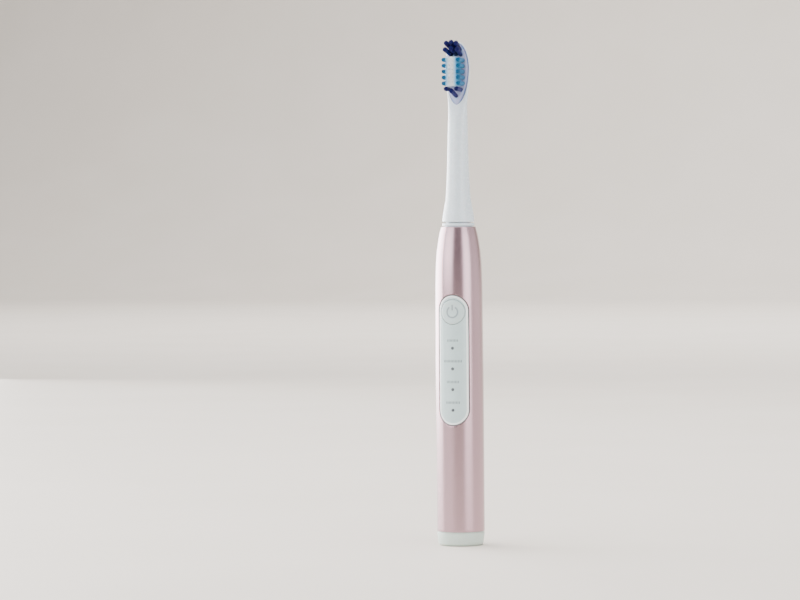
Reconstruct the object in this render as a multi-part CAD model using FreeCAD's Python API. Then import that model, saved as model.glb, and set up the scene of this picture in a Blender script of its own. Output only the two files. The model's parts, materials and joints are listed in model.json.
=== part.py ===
import FreeCAD, Part

import math
import os

# Sonic toothbrush standing on its base: a tapered metal handle with a control panel, and a
# pull-off brush head on an oscillating steel shaft. Millimetres, +Z up. The origin is the centre
# of the base's underside, and the panel and the bristles face -Y.

# Handle, outside
HANDLE_RADIUS = 11.4  # straight, lower part of the handle
HANDLE_TOP = 151.5  # height of the shell's upper rim
WALL = 1.2  # metal shell
# Outline of the tapered shoulder: inset from HANDLE_RADIUS, distance below HANDLE_TOP
SHOULDER = ((0.0, 71.5), (0.1, 52.5), (0.5, 18.5), (1.6, 7.5), (3.2, 0.0))
RIM_SLOPE = 0.6  # of the shoulder at the rim, inwards for each mm up
RIM_BORE = 6.95  # radius of the opening in the shell's upper rim
RIM_DEPTH = 4.0

# Base cap
CAP_HEIGHT = 6.7  # visible height, up to the shell's lower rim
CAP_FLOOR = 2.2
CAP_TOP_INSET = 0.3  # the cap is this much slimmer than the shell at the seam
CAP_FOOT_INSET = 0.9  # and this much slimmer above its rounded lower edge
CAP_EDGE = 1.4  # radius of the rounded lower edge
CAP_STEP = 0.45  # height of the shadow step under the seam
CAP_STEP_DEPTH = 0.35
SPIGOT_LENGTH = 7.3  # part of the cap inside the shell
SPIGOT_WALL = 1.5
SEAL_GROOVE_DEPTH = 0.8
SEAL_HEIGHT = 1.5
SEAL_ABOVE_SEAM = 2.4

# Charger recess
RECESS_RADIUS = 4.6
RECESS_DEPTH = 14.0
RECESS_WALL = 1.2
RECESS_LEAD_IN = 0.6

# Charging coil
COIL_FLANGE = 0.8
COIL_FORMER_WALL = 0.7
COIL_HEIGHT = 11.2
COIL_CLEARANCE = 0.57  # from the coil former to the base cap's spigot
FERRITE_RADIUS = 6.6
FERRITE_THICKNESS = 1.0

# Control panel
PANEL_CENTRE = 88.35
PANEL_LENGTH = 61.5
PANEL_WIDTH = 14.4
GASKET_WIDTH = 0.3
GASKET_RECESS = 0.15
PANEL_LIP = 0.6  # how far the hidden flange reaches behind the shell
PANEL_LIP_THICKNESS = 0.7
INDICATOR_RADIUS = 0.75
INDICATOR_PITCH = 9.8
INDICATOR_COUNT = 4
LOWEST_INDICATOR = 64.7

# Power button
BUTTON_HEIGHT = 111.2
BUTTON_MARGIN = 1.4  # from the panel's edge to the button
BUTTON_GAP = 0.2
BUTTON_RIM = 0.5  # hidden retaining rim, wider than the cap
BUTTON_RIM_THICKNESS = 0.5
BUTTON_RIM_INSET = 1.05
BUTTON_STEM_RADIUS = 1.2
BUTTON_TRAVEL = 0.4

# Circuit board and what it carries
BOARD_FRONT = -7.6
BOARD_THICKNESS = 1.0
BOARD_WIDTH = 10.0
BOARD_BOTTOM = 20.0
BOARD_ABOVE_BUTTON = 5.8
BOARD_PART_CLEARANCE = 0.2
LED_HEIGHT = 0.7
LED_WIDTH = 1.2
SWITCH_WIDTH = 3.6
SWITCH_THICKNESS = 1.1
SWITCH_BORE = 0.95
SWITCH_FLOOR = 0.3
PLUNGER_RADIUS = 0.85
PLUNGER_LENGTH = 0.8
SCREW_HEAD_RADIUS = 1.2
SCREW_HEAD_HEIGHT = 0.6
SCREW_RADIUS = 0.6
SCREW_LENGTH = 2.6
SCREW_SPACING = 6.8
# Parts on the board's rear face: centre height, offset, height, width, thickness
BOARD_PARTS = (
    (31.0, 0.0, 5.0, 5.0, 0.9),
    (38.5, -1.6, 3.0, 3.0, 0.8),
    (38.5, 2.0, 2.0, 1.2, 0.6),
    (45.5, 0.4, 4.0, 4.0, 1.1),
    (52.0, -1.8, 2.0, 1.2, 0.6),
    (52.0, 1.4, 2.8, 2.8, 0.8),
    (58.5, 0.0, 3.2, 5.4, 1.0),
)

# Battery
BATTERY_RADIUS = 7.0
CRADLE_OPENING = 0.8  # share of the cell's radius left open behind it
BATTERY_LENGTH = 50.0
BATTERY_BOTTOM = 19.3
BATTERY_CLEARANCE = 0.2
BATTERY_NUB_RADIUS = 2.6
BATTERY_NUB_HEIGHT = 0.8
TAB_THICKNESS = 0.3
TAB_WIDTH = 3.0
TAB_LEG = 3.5

# Inner chassis
CHASSIS_CLEARANCE = 0.1
CHASSIS_PLATE = 2.0
DECK_THICKNESS = 0.8
LEDGE_WIDTH = 0.8
BAY_HEIGHT = 5.0  # wiring bay between the battery and the motor
BULKHEAD = 1.6
SLEEVE_WALL = 1.2
RIB = 2.0
NECK_RING_WALL = 1.8

# Motor
MOTOR_RADIUS = 6.2
MOTOR_WALL = 0.6
MOTOR_LENGTH = 57.0
MOTOR_PLATE = 1.2
END_CAP_THICKNESS = 4.0
DAMPER_THICKNESS = 1.0
DAMPER_HEIGHT = 4.0
DAMPER_OFFSETS = (4.0, 45.0)
BEARING_RADIUS = 3.8
BEARING_HEIGHT = 3.0
BEARING_SEAT_WALL = 1.0
CORE_INNER_RADIUS = 4.7
CORE_LENGTH = 30.0
CORE_OFFSET = 14.0
TOOTH_WIDTH = 4.4
AIR_GAP = 0.3
COIL_OVERHANG = 2.6
HUB_RADIUS = 2.9
HUB_LENGTH = 42.0
MAGNET_THICKNESS = 0.7
MAGNET_COUNT = 4
MAGNET_ANGLE = 78.0
MAGNET_LENGTH = 34.0

# Drive shaft
SHAFT_RADIUS = 2.0
SHAFT_EXPOSED = 24.8  # from the collar's top to the shaft's tip
SHAFT_TAIL = 0.4  # gap between the shaft's lower end and the motor's base plate
FLAT_DEPTH = 0.6
FLAT_LENGTH = 20.0
SHAFT_TIP_CHAMFER = 0.4
CIRCLIP_RADIUS = 3.2
CIRCLIP_THICKNESS = 0.8
CIRCLIP_GAP = 0.3

# Collar and shaft seal
COLLAR_RADIUS = 7.7
COLLAR_HEIGHT = 1.7
COLLAR_EDGE = 0.425
COLLAR_SPIGOT = 5.0
COLLAR_BORE = 5.0
COLLAR_LIP_BORE = 4.2
COLLAR_LIP = 0.9
SEAL_WEB = 1.0
SEAL_HUB_WALL = 0.9
SEAL_RIM_WALL = 1.0
SEAL_HUB_MARGIN = 0.6

# Brush head: neck sections as height above its foot, half width, half depth, middle along Y
HEAD_GAP = 0.5  # the vibrating head stands clear of the collar
NECK_SECTIONS = (
    (0.0, 7.7, 7.7, 0.0),
    (5.8, 6.9, 6.9, 0.0),
    (11.5, 5.9, 5.9, 0.0),
    (17.0, 5.6, 5.6, 0.0),
    (34.0, 5.0, 4.7, 0.1),
    (46.0, 4.8, 3.8, 0.4),
    (54.0, 4.4, 2.8, 0.7),
    (61.0, 4.2, 1.7, 1.4),
)
NECK_POCKET_RADIUS = 6.2
NECK_POCKET_TOP_RADIUS = 4.6
NECK_POCKET_DEPTH = 6.3
SLEEVE_RADIUS = 3.4
SLEEVE_LENGTH = 21.0
SLEEVE_TIP_GAP = 0.5
SLEEVE_END = 1.0  # solid end above the bore
CLIP_WIDTH = 2.4
CLIP_THICKNESS = 0.3
CLIP_LENGTH = 12.0
CLIP_GAP = 0.15
CLIP_ABOVE_SLEEVE_FOOT = 3.0

# Head outline: half width and the heights of its tip, widest point and top above the neck's foot
HEAD_HALF_WIDTH = 6.2
HEAD_TIP = 53.5
HEAD_WIDEST = 73.3
HEAD_TOP = 85.8
HEAD_SHOULDER = 0.62  # how far down towards the tip the outline is guided
HEAD_SHOULDER_WIDTH = 0.74
HEAD_SHOULDER_SLOPE = 0.42
HEAD_FRONT = -1.8
HEAD_SPLIT = -0.4  # where the clear front plate meets the white back
HEAD_BACK = 3.3
# Fullness of the head's outline along its depth: share of the way from front to back, scale
PLATE_FULLNESS = ((0.0, 0.80), (0.55, 0.89), (1.0, 0.935))
BACK_FULLNESS = ((0.0, 0.935), (0.35, 1.0), (0.72, 0.92), (1.0, 0.66))

# Bristles
TUFT_RADIUS = 0.9
TUFT_SINK = 2.2  # depth of the tuft holes below the plate's face
TUFT_REACH = 9.4  # bristle length beyond the plate's face
SIDE_TUFT_X = 3.6
SIDE_ROWS = 5
ROW_PITCH = 2.78
TOP_ROW = 76.8  # height of the uppermost side row above the neck's foot
FIELD_TUFT_RADIUS = 0.78
FIELD_COLUMNS = 3
FIELD_COLUMN_PITCH = 1.74
FIELD_ROWS = 7
FIELD_ROW_PITCH = 1.95
# Dark tufts: offset X, height above the neck's foot, lean upwards and splay outwards in degrees
TIP_TUFTS = (
    (-2.4, 79.4, 16.0, -4.0),
    (0.0, 79.7, 17.0, 0.0),
    (2.4, 79.4, 16.0, 4.0),
    (-2.0, 81.9, 20.0, -3.0),
    (0.0, 82.3, 20.0, 0.0),
    (2.0, 81.9, 20.0, 3.0),
)
HEEL_TUFTS = (
    (-2.6, 62.8, 2.0, 0.0),
    (2.6, 62.8, 2.0, 0.0),
    (0.0, 59.9, 15.0, 0.0),
)

# Fits
FIT = 0.03  # gap between round pieces that seat in each other
RUNNING = 0.05  # radial running clearance of the shaft
LEAD_RADIUS = 0.35

# Levels and places that follow from the sizes above
SHELL_BORE = HANDLE_RADIUS - WALL
COLLAR_TOP = HANDLE_TOP + COLLAR_HEIGHT
SPIGOT_TOP = CAP_HEIGHT + SPIGOT_LENGTH
COIL_OUTER = SHELL_BORE - SPIGOT_WALL - COIL_CLEARANCE
BOSS_RADIUS = RECESS_RADIUS + RECESS_WALL
BOSS_TOP = RECESS_DEPTH + RECESS_WALL
CHASSIS_BOTTOM = BOSS_TOP + FERRITE_THICKNESS
BOARD_REAR = BOARD_FRONT + BOARD_THICKNESS
BUTTON_RADIUS = PANEL_WIDTH / 2 - BUTTON_MARGIN
BOARD_GAP = max(part[4] for part in BOARD_PARTS) + BOARD_PART_CLEARANCE
DECK_FRONT = BOARD_REAR + BOARD_GAP
BOARD_TOP = BUTTON_HEIGHT + BOARD_ABOVE_BUTTON
BATTERY_Y = DECK_FRONT + DECK_THICKNESS + BATTERY_CLEARANCE + BATTERY_RADIUS
BATTERY_TOP = BATTERY_BOTTOM + BATTERY_LENGTH
TAB_TOP = BATTERY_TOP + BATTERY_NUB_HEIGHT + TAB_THICKNESS
BAY_BOTTOM = TAB_TOP + BULKHEAD
BAY_TOP = BAY_BOTTOM + BAY_HEIGHT
MOTOR_BOTTOM = BAY_TOP + BULKHEAD
MOTOR_TOP = MOTOR_BOTTOM + MOTOR_LENGTH
MOTOR_POCKET = MOTOR_RADIUS + DAMPER_THICKNESS
MOTOR_BORE = MOTOR_RADIUS - MOTOR_WALL
CORE_BOTTOM = MOTOR_BOTTOM + CORE_OFFSET
CIRCLIP_TOP = MOTOR_TOP + CIRCLIP_GAP + CIRCLIP_THICKNESS
TOP_PLATE = CIRCLIP_TOP + CIRCLIP_GAP
SPIGOT_BOTTOM = HANDLE_TOP - COLLAR_SPIGOT
MAGNET_RADIUS = HUB_RADIUS + MAGNET_THICKNESS
TOOTH_RADIUS = MAGNET_RADIUS + AIR_GAP
SHAFT_BOTTOM = MOTOR_BOTTOM + MOTOR_PLATE + SHAFT_TAIL
SHAFT_TOP = COLLAR_TOP + SHAFT_EXPOSED
SHAFT_FLAT = SHAFT_RADIUS - FLAT_DEPTH
SHAFT_BORE = SHAFT_RADIUS + RUNNING
NECK_FOOT = COLLAR_TOP + HEAD_GAP
SLEEVE_TOP = SHAFT_TOP + SLEEVE_TIP_GAP + SLEEVE_END
SLEEVE_FOOT = SLEEVE_TOP - SLEEVE_LENGTH
PANEL_INSET = WALL + PANEL_LIP_THICKNESS
WINDOW_WIDTH = PANEL_WIDTH + 2 * (GASKET_WIDTH + 2 * FIT)
WINDOW_LENGTH = PANEL_LENGTH + 2 * (GASKET_WIDTH + 2 * FIT)
FAR = 2 * HANDLE_RADIUS  # reaches past the handle on every side
INDICATORS = [LOWEST_INDICATOR + i * INDICATOR_PITCH for i in range(INDICATOR_COUNT)]


def vec(x, y, z):
    return FreeCAD.Vector(x, y, z)


def cylinder(radius, bottom, top, x=0.0, y=0.0):
    return Part.makeCylinder(radius, top - bottom, vec(x, y, bottom))


def ring(outer, inner, bottom, top):
    return cylinder(outer, bottom, top).cut(cylinder(inner, bottom, top))


def block(x_low, x_high, y_low, y_high, z_low, z_high):
    corner = vec(x_low, y_low, z_low)
    return Part.makeBox(x_high - x_low, y_high - y_low, z_high - z_low, corner)


def plate(width, front, rear, height, z, x=0.0):
    """A block of the given width and height, centred at x and z."""
    return block(x - width / 2, x + width / 2, front, rear, z - height / 2, z + height / 2)


def pin(radius, front, rear, z, x=0.0):
    """A round bar along Y."""
    return Part.makeCylinder(radius, rear - front, vec(x, front, z), vec(0, 1, 0))


def lathe(edges):
    """The solid swept by a closed outline in the XZ plane turning round the handle's axis."""
    face = Part.Face(Part.Wire(edges))
    return face.revolve(vec(0, 0, 0), vec(0, 0, 1), 360)


def compound(shapes):
    return Part.makeCompound(shapes)


def envelope(inset, bottom, top):
    """The handle's outer form moved inwards by inset, between two heights."""
    points = [vec(HANDLE_RADIUS - inset - drop, 0, HANDLE_TOP - below) for drop, below in SHOULDER]
    curve = Part.BSplineCurve()
    curve.interpolate(Points=points, InitialTangent=vec(0, 0, 1), FinalTangent=vec(-RIM_SLOPE, 0, 1))
    start = points[0]
    end = points[-1]
    base = vec(start.x, 0, 0)
    edges = [
        Part.makeLine(vec(0, 0, 0), base),
        Part.makeLine(base, start),
        curve.toShape(),
        Part.makeLine(end, vec(0, 0, end.z)),
        Part.makeLine(vec(0, 0, end.z), vec(0, 0, 0)),
    ]
    return lathe(edges).common(cylinder(FAR, bottom, top))


def obround(width, length, centre):
    """A bar along -Y with a stadium section, from the handle's axis outwards."""
    radius = width / 2
    reach = length / 2 - radius
    bar = block(-radius, radius, -FAR, 0, centre - reach, centre + reach)
    lower = pin(radius, -FAR, 0, centre - reach)
    upper = pin(radius, -FAR, 0, centre + reach)
    return bar.fuse([lower, upper]).removeSplitter()


def sector(radius, half_angle, facing, bottom, top):
    """A wedge of a cylinder, centred on the facing angle in degrees."""
    wedge = Part.makeCylinder(radius, top - bottom, vec(0, 0, bottom), vec(0, 0, 1), 2 * half_angle)
    wedge.rotate(vec(0, 0, 0), vec(0, 0, 1), facing - half_angle)
    return wedge


def panel_band(inset_outer, inset_inner):
    """The layer of the handle's wall between two insets, over the panel's height."""
    low = PANEL_CENTRE - PANEL_LENGTH
    high = PANEL_CENTRE + PANEL_LENGTH
    return envelope(inset_outer, low, high).cut(envelope(inset_inner, low, high))


# Handle casing


def handle_shell():
    shell = envelope(0, CAP_HEIGHT, HANDLE_TOP)
    shell = shell.cut(envelope(WALL, CAP_HEIGHT, HANDLE_TOP - RIM_DEPTH))
    shell = shell.cut(cylinder(RIM_BORE, HANDLE_TOP - RIM_DEPTH, HANDLE_TOP))
    return shell.cut(obround(WINDOW_WIDTH, WINDOW_LENGTH, PANEL_CENTRE))


def base_cap():
    top = HANDLE_RADIUS - CAP_TOP_INSET
    foot = HANDLE_RADIUS - CAP_FOOT_INSET
    step = CAP_HEIGHT - CAP_STEP
    bend = CAP_EDGE * (1 - math.cos(math.radians(45)))
    edge = Part.Arc(vec(foot - CAP_EDGE, 0, 0), vec(foot - bend, 0, bend), vec(foot, 0, CAP_EDGE))
    outline = [
        vec(foot, 0, CAP_EDGE),
        vec(top, 0, step),
        vec(top - CAP_STEP_DEPTH, 0, step),
        vec(top - CAP_STEP_DEPTH, 0, CAP_HEIGHT),
        vec(0, 0, CAP_HEIGHT),
        vec(0, 0, 0),
        vec(foot - CAP_EDGE, 0, 0),
    ]
    cap = lathe([edge.toShape()] + Part.makePolygon(outline).Edges)
    cap = cap.fuse(cylinder(SHELL_BORE - FIT, CAP_HEIGHT, SPIGOT_TOP))
    cap = cap.cut(cylinder(SHELL_BORE - SPIGOT_WALL, CAP_FLOOR, SPIGOT_TOP))
    groove_foot = CAP_HEIGHT + SEAL_ABOVE_SEAM
    groove = ring(SHELL_BORE, SHELL_BORE - SEAL_GROOVE_DEPTH, groove_foot, groove_foot + SEAL_HEIGHT)
    cap = cap.cut(groove)
    cap = cap.fuse(cylinder(BOSS_RADIUS, CAP_FLOOR, BOSS_TOP))
    cap = cap.cut(cylinder(RECESS_RADIUS, 0, RECESS_DEPTH))
    wide = RECESS_RADIUS + RECESS_LEAD_IN
    return cap.cut(Part.makeCone(wide, RECESS_RADIUS, RECESS_LEAD_IN)).removeSplitter()


def base_seal():
    foot = CAP_HEIGHT + SEAL_ABOVE_SEAM
    return ring(SHELL_BORE - FIT, SHELL_BORE - SEAL_GROOVE_DEPTH + FIT, foot, foot + SEAL_HEIGHT)


def top_collar():
    collar = cylinder(COLLAR_RADIUS, HANDLE_TOP, COLLAR_TOP)
    rim = [edge for edge in collar.Edges if edge.BoundBox.ZMin > COLLAR_TOP - FIT]
    collar = collar.makeFillet(COLLAR_EDGE, rim[:1])
    collar = collar.fuse(cylinder(RIM_BORE - FIT, SPIGOT_BOTTOM, HANDLE_TOP))
    collar = collar.cut(cylinder(COLLAR_BORE, SPIGOT_BOTTOM, COLLAR_TOP - COLLAR_LIP))
    return collar.cut(cylinder(COLLAR_LIP_BORE, COLLAR_TOP - COLLAR_LIP, COLLAR_TOP))


def shaft_seal():
    top = COLLAR_TOP - COLLAR_LIP
    middle = (SPIGOT_BOTTOM + top) / 2
    rim = COLLAR_BORE - FIT
    hub = SHAFT_BORE + SEAL_HUB_WALL
    seal = ring(rim, rim - SEAL_RIM_WALL, SPIGOT_BOTTOM, top)
    seal = seal.fuse(ring(hub, SHAFT_BORE, SPIGOT_BOTTOM + SEAL_HUB_MARGIN, top + SEAL_HUB_MARGIN))
    web = ring(rim, SHAFT_BORE, middle - SEAL_WEB / 2, middle + SEAL_WEB / 2)
    return seal.fuse(web).removeSplitter()


# Control panel and button


def control_panel():
    outer = panel_band(0, PANEL_INSET).common(obround(PANEL_WIDTH, PANEL_LENGTH, PANEL_CENTRE))
    flange_width = WINDOW_WIDTH + 2 * PANEL_LIP
    flange_length = WINDOW_LENGTH + 2 * PANEL_LIP
    flange = panel_band(WALL + FIT, PANEL_INSET)
    flange = flange.common(obround(flange_width, flange_length, PANEL_CENTRE))
    panel = outer.fuse(flange)
    panel = panel.cut(pin(BUTTON_RADIUS + BUTTON_GAP, -FAR, 0, BUTTON_HEIGHT))
    rim_space = envelope(BUTTON_RIM_INSET - FIT, PANEL_CENTRE, PANEL_CENTRE + PANEL_LENGTH)
    rim_radius = BUTTON_RADIUS + BUTTON_RIM + BUTTON_GAP
    panel = panel.cut(rim_space.common(pin(rim_radius, -FAR, 0, BUTTON_HEIGHT)))
    holes = [pin(INDICATOR_RADIUS + FIT, -FAR, 0, height) for height in INDICATORS]
    return panel.cut(compound(holes)).removeSplitter()


def panel_gasket():
    width = WINDOW_WIDTH - 2 * FIT
    length = WINDOW_LENGTH - 2 * FIT
    gasket = panel_band(GASKET_RECESS, WALL).common(obround(width, length, PANEL_CENTRE))
    thin = 2 * GASKET_WIDTH
    return gasket.cut(obround(width - thin, length - thin, PANEL_CENTRE))


def indicator_windows():
    casing = envelope(0, 0, HANDLE_TOP)
    rear = -(HANDLE_RADIUS - PANEL_INSET - PANEL_LIP_THICKNESS)
    windows = [pin(INDICATOR_RADIUS, -FAR, rear, height).common(casing) for height in INDICATORS]
    return compound(windows)


def power_button():
    cap = envelope(0, PANEL_CENTRE, HANDLE_TOP)
    hollow = envelope(BUTTON_RIM_INSET + BUTTON_RIM_THICKNESS, PANEL_CENTRE, HANDLE_TOP)
    cap = cap.cut(hollow).common(pin(BUTTON_RADIUS, -FAR, 0, BUTTON_HEIGHT))
    rim = envelope(BUTTON_RIM_INSET, PANEL_CENTRE, HANDLE_TOP).cut(hollow)
    rim = rim.common(pin(BUTTON_RADIUS + BUTTON_RIM, -FAR, 0, BUTTON_HEIGHT))
    stem_root = -(HANDLE_RADIUS - BUTTON_RIM_INSET - BUTTON_RIM_THICKNESS)
    stem = pin(BUTTON_STEM_RADIUS, stem_root, plunger_front() - RUNNING, BUTTON_HEIGHT)
    return cap.fuse([rim, stem]).removeSplitter()


# Circuit board


def plunger_front():
    """Y of the switch plunger's outer end: it has its travel left above the switch's floor."""
    return BOARD_FRONT - SWITCH_FLOOR - RUNNING - BUTTON_TRAVEL - PLUNGER_LENGTH


def circuit_board():
    board = block(-BOARD_WIDTH / 2, BOARD_WIDTH / 2, BOARD_FRONT, BOARD_REAR, BOARD_BOTTOM, BOARD_TOP)
    return board.cut(compound([pin(SCREW_RADIUS + RUNNING, -FAR, 0, z, x) for x, z in screw_places()]))


def circuit_parts():
    return compound(
        [plate(w, BOARD_REAR, BOARD_REAR + t, h, z, x) for z, x, h, w, t in BOARD_PARTS]
    )


def indicator_leds():
    front = BOARD_FRONT - LED_HEIGHT
    return compound([plate(LED_WIDTH, front, BOARD_FRONT, LED_WIDTH, z) for z in INDICATORS])


def tact_switch():
    front = BOARD_FRONT - SWITCH_THICKNESS
    body = plate(SWITCH_WIDTH, front, BOARD_FRONT, SWITCH_WIDTH, BUTTON_HEIGHT)
    return body.cut(pin(SWITCH_BORE, front, BOARD_FRONT - SWITCH_FLOOR, BUTTON_HEIGHT))


def switch_plunger():
    front = plunger_front()
    return pin(PLUNGER_RADIUS, front, front + PLUNGER_LENGTH, BUTTON_HEIGHT)


def screw_places():
    half = SCREW_SPACING / 2
    rows = (BOARD_BOTTOM + SCREW_HEAD_RADIUS * 2, (BAY_BOTTOM + BAY_TOP) / 2)
    return [(x, z) for z in rows for x in (-half, half)]


def board_screws():
    screws = []
    for x, z in screw_places():
        shank = pin(SCREW_RADIUS, BOARD_FRONT, BOARD_FRONT + SCREW_LENGTH, z, x)
        head = pin(SCREW_HEAD_RADIUS, BOARD_FRONT - SCREW_HEAD_HEIGHT, BOARD_FRONT, z, x)
        screws.append(head.fuse(shank))
    return compound(screws)


# Power


def battery_cell():
    cell = cylinder(BATTERY_RADIUS, BATTERY_BOTTOM, BATTERY_TOP, 0, BATTERY_Y)
    cell = cell.makeFillet(BATTERY_NUB_HEIGHT / 2, [e for e in cell.Edges if len(e.Vertexes) == 1])
    nub_top = BATTERY_TOP + BATTERY_NUB_HEIGHT
    return cell.fuse(cylinder(BATTERY_NUB_RADIUS, BATTERY_TOP, nub_top, 0, BATTERY_Y))


def battery_tab(low, leg_low, leg_high):
    """A strip under or over a battery end, with a leg along the circuit board's rear face."""
    half = TAB_WIDTH / 2
    rear = BATTERY_Y + BATTERY_NUB_RADIUS
    strip = block(-half, half, BOARD_REAR, rear, low, low + TAB_THICKNESS)
    leg = block(-half, half, BOARD_REAR, BOARD_REAR + TAB_THICKNESS, leg_low, leg_high)
    return strip.fuse(leg).removeSplitter()


def battery_tabs():
    low = BATTERY_BOTTOM - TAB_THICKNESS
    high = TAB_TOP - TAB_THICKNESS
    lower = battery_tab(low, low, low + TAB_LEG)
    upper = battery_tab(high, TAB_TOP - TAB_LEG, TAB_TOP)
    return compound([lower, upper])


def coil_former():
    bore = BOSS_RADIUS + FIT
    top = CAP_FLOOR + COIL_HEIGHT
    former = ring(COIL_OUTER, bore, CAP_FLOOR, top)
    core = bore + COIL_FORMER_WALL
    return former.cut(ring(COIL_OUTER, core, CAP_FLOOR + COIL_FLANGE, top - COIL_FLANGE))


def charging_coil():
    core = BOSS_RADIUS + FIT + COIL_FORMER_WALL
    low = CAP_FLOOR + COIL_FLANGE
    return ring(COIL_OUTER - 2 * FIT, core + FIT, low, low + COIL_HEIGHT - 2 * COIL_FLANGE)


def ferrite_shield():
    return cylinder(FERRITE_RADIUS, BOSS_TOP, CHASSIS_BOTTOM)


def coil_leads():
    """Two straight leads from the coil former's flange to the board's lower edge."""
    y = (BOARD_FRONT + BOARD_REAR) / 2
    x = BOARD_WIDTH / 4
    low = CAP_FLOOR + COIL_HEIGHT
    return compound([cylinder(LEAD_RADIUS, low, BOARD_BOTTOM, side * x, y) for side in (-1, 1)])


# Chassis


def deck_front_space():
    """The space in front of the deck, which the circuit board takes."""
    return block(-FAR, FAR, -FAR, DECK_FRONT, CHASSIS_BOTTOM, BOARD_TOP + RUNNING)


def chassis():
    slim = PANEL_INSET + CHASSIS_CLEARANCE
    wide = WALL + CHASSIS_CLEARANCE
    cradle = envelope(slim, CHASSIS_BOTTOM, MOTOR_BOTTOM)
    foot = envelope(wide, CHASSIS_BOTTOM, CHASSIS_BOTTOM + CHASSIS_PLATE)
    outer_sleeve = MOTOR_POCKET + SLEEVE_WALL
    sleeve = cylinder(outer_sleeve, MOTOR_BOTTOM, TOP_PLATE)
    top = envelope(wide, TOP_PLATE - RIB, TOP_PLATE + CHASSIS_PLATE)
    middle = envelope(slim, BOARD_TOP + RIB, BOARD_TOP + 2 * RIB)
    frame = cradle.fuse([foot, sleeve, top, middle])
    frame = frame.cut(cylinder(MOTOR_POCKET, MOTOR_BOTTOM, TOP_PLATE))
    frame = frame.cut(deck_front_space())
    pocket = BATTERY_RADIUS + BATTERY_CLEARANCE
    pocket_foot = BATTERY_BOTTOM - TAB_THICKNESS
    frame = frame.cut(cylinder(pocket, pocket_foot, TAB_TOP, 0, BATTERY_Y))
    half = BATTERY_RADIUS * CRADLE_OPENING
    frame = frame.cut(block(-half, half, BATTERY_Y, FAR, pocket_foot, TAB_TOP))
    notch = TAB_WIDTH / 2 + BATTERY_CLEARANCE
    for low in (pocket_foot, TAB_TOP - TAB_THICKNESS - BATTERY_CLEARANCE):
        high = low + TAB_THICKNESS + BATTERY_CLEARANCE
        frame = frame.cut(block(-notch, notch, DECK_FRONT, BATTERY_Y, low, high))
    bay = SCREW_SPACING / 2 - 2 * SCREW_RADIUS
    frame = frame.cut(block(-bay, bay, DECK_FRONT, BATTERY_Y + pocket, BAY_BOTTOM, BAY_TOP))
    lead_hole = block(-bay, bay, DECK_FRONT, lead_y() + 2 * LEAD_RADIUS, BAY_TOP, MOTOR_BOTTOM)
    frame = frame.cut(lead_hole)
    ledge_outer = BOARD_WIDTH / 2
    ledge_inner = ledge_outer - LEDGE_WIDTH
    for side in (-1, 1):
        low = min(side * ledge_inner, side * ledge_outer)
        ledge = block(low, low + LEDGE_WIDTH, BOARD_REAR, DECK_FRONT, BOARD_BOTTOM, BOARD_TOP)
        frame = frame.fuse(ledge)
    for x, z in screw_places():
        frame = frame.fuse(pin(SCREW_HEAD_RADIUS, BOARD_REAR, DECK_FRONT, z, x))
    holes = [
        pin(SCREW_RADIUS + FIT, BOARD_REAR, BOARD_FRONT + SCREW_LENGTH + FIT, z, x)
        for x, z in screw_places()
    ]
    frame = frame.cut(compound(holes))
    bore = COLLAR_BORE
    neck = ring(bore + NECK_RING_WALL, bore, TOP_PLATE + CHASSIS_PLATE, SPIGOT_BOTTOM)
    frame = frame.fuse(neck).cut(cylinder(bore, TOP_PLATE, SPIGOT_BOTTOM))
    return frame.removeSplitter()


# Motor


def motor_housing():
    housing = cylinder(MOTOR_RADIUS, MOTOR_BOTTOM, MOTOR_TOP)
    housing = housing.cut(cylinder(MOTOR_BORE, MOTOR_BOTTOM + MOTOR_PLATE, MOTOR_TOP))
    seat_foot = MOTOR_BOTTOM + MOTOR_PLATE
    seat = BEARING_RADIUS + FIT
    rim = ring(seat + BEARING_SEAT_WALL, seat, seat_foot, seat_foot + BEARING_HEIGHT)
    return housing.fuse(rim).removeSplitter()


def motor_end_cap():
    low = MOTOR_TOP - END_CAP_THICKNESS
    cap = cylinder(MOTOR_BORE - FIT, low, MOTOR_TOP)
    cap = cap.cut(cylinder(BEARING_RADIUS + FIT, MOTOR_TOP - BEARING_HEIGHT, MOTOR_TOP))
    return cap.cut(cylinder(HUB_RADIUS, low, MOTOR_TOP))


def bearing(bottom):
    """A plain bearing bush with a shallow oil groove round its outside."""
    bush = ring(BEARING_RADIUS, SHAFT_BORE, bottom, bottom + BEARING_HEIGHT)
    third = BEARING_HEIGHT / 3
    groove = ring(BEARING_RADIUS, BEARING_RADIUS - AIR_GAP, bottom + third, bottom + 2 * third)
    return bush.cut(groove)


def front_bearing():
    return bearing(MOTOR_TOP - BEARING_HEIGHT)


def rear_bearing():
    return bearing(MOTOR_BOTTOM + MOTOR_PLATE)


def motor_dampers():
    rings = []
    for offset in DAMPER_OFFSETS:
        low = MOTOR_BOTTOM + offset
        damper = ring(MOTOR_POCKET - FIT, MOTOR_RADIUS + FIT, low, low + DAMPER_HEIGHT)
        rings.append(damper.cut(deck_front_space()))
    return compound(rings)


def stator_core():
    top = CORE_BOTTOM + CORE_LENGTH
    core = ring(MOTOR_BORE - FIT, CORE_INNER_RADIUS, CORE_BOTTOM, top)
    half = TOOTH_WIDTH / 2
    teeth = block(-CORE_INNER_RADIUS - FIT, CORE_INNER_RADIUS + FIT, -half, half, CORE_BOTTOM, top)
    return core.fuse(teeth.cut(cylinder(TOOTH_RADIUS, CORE_BOTTOM, top))).removeSplitter()


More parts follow.
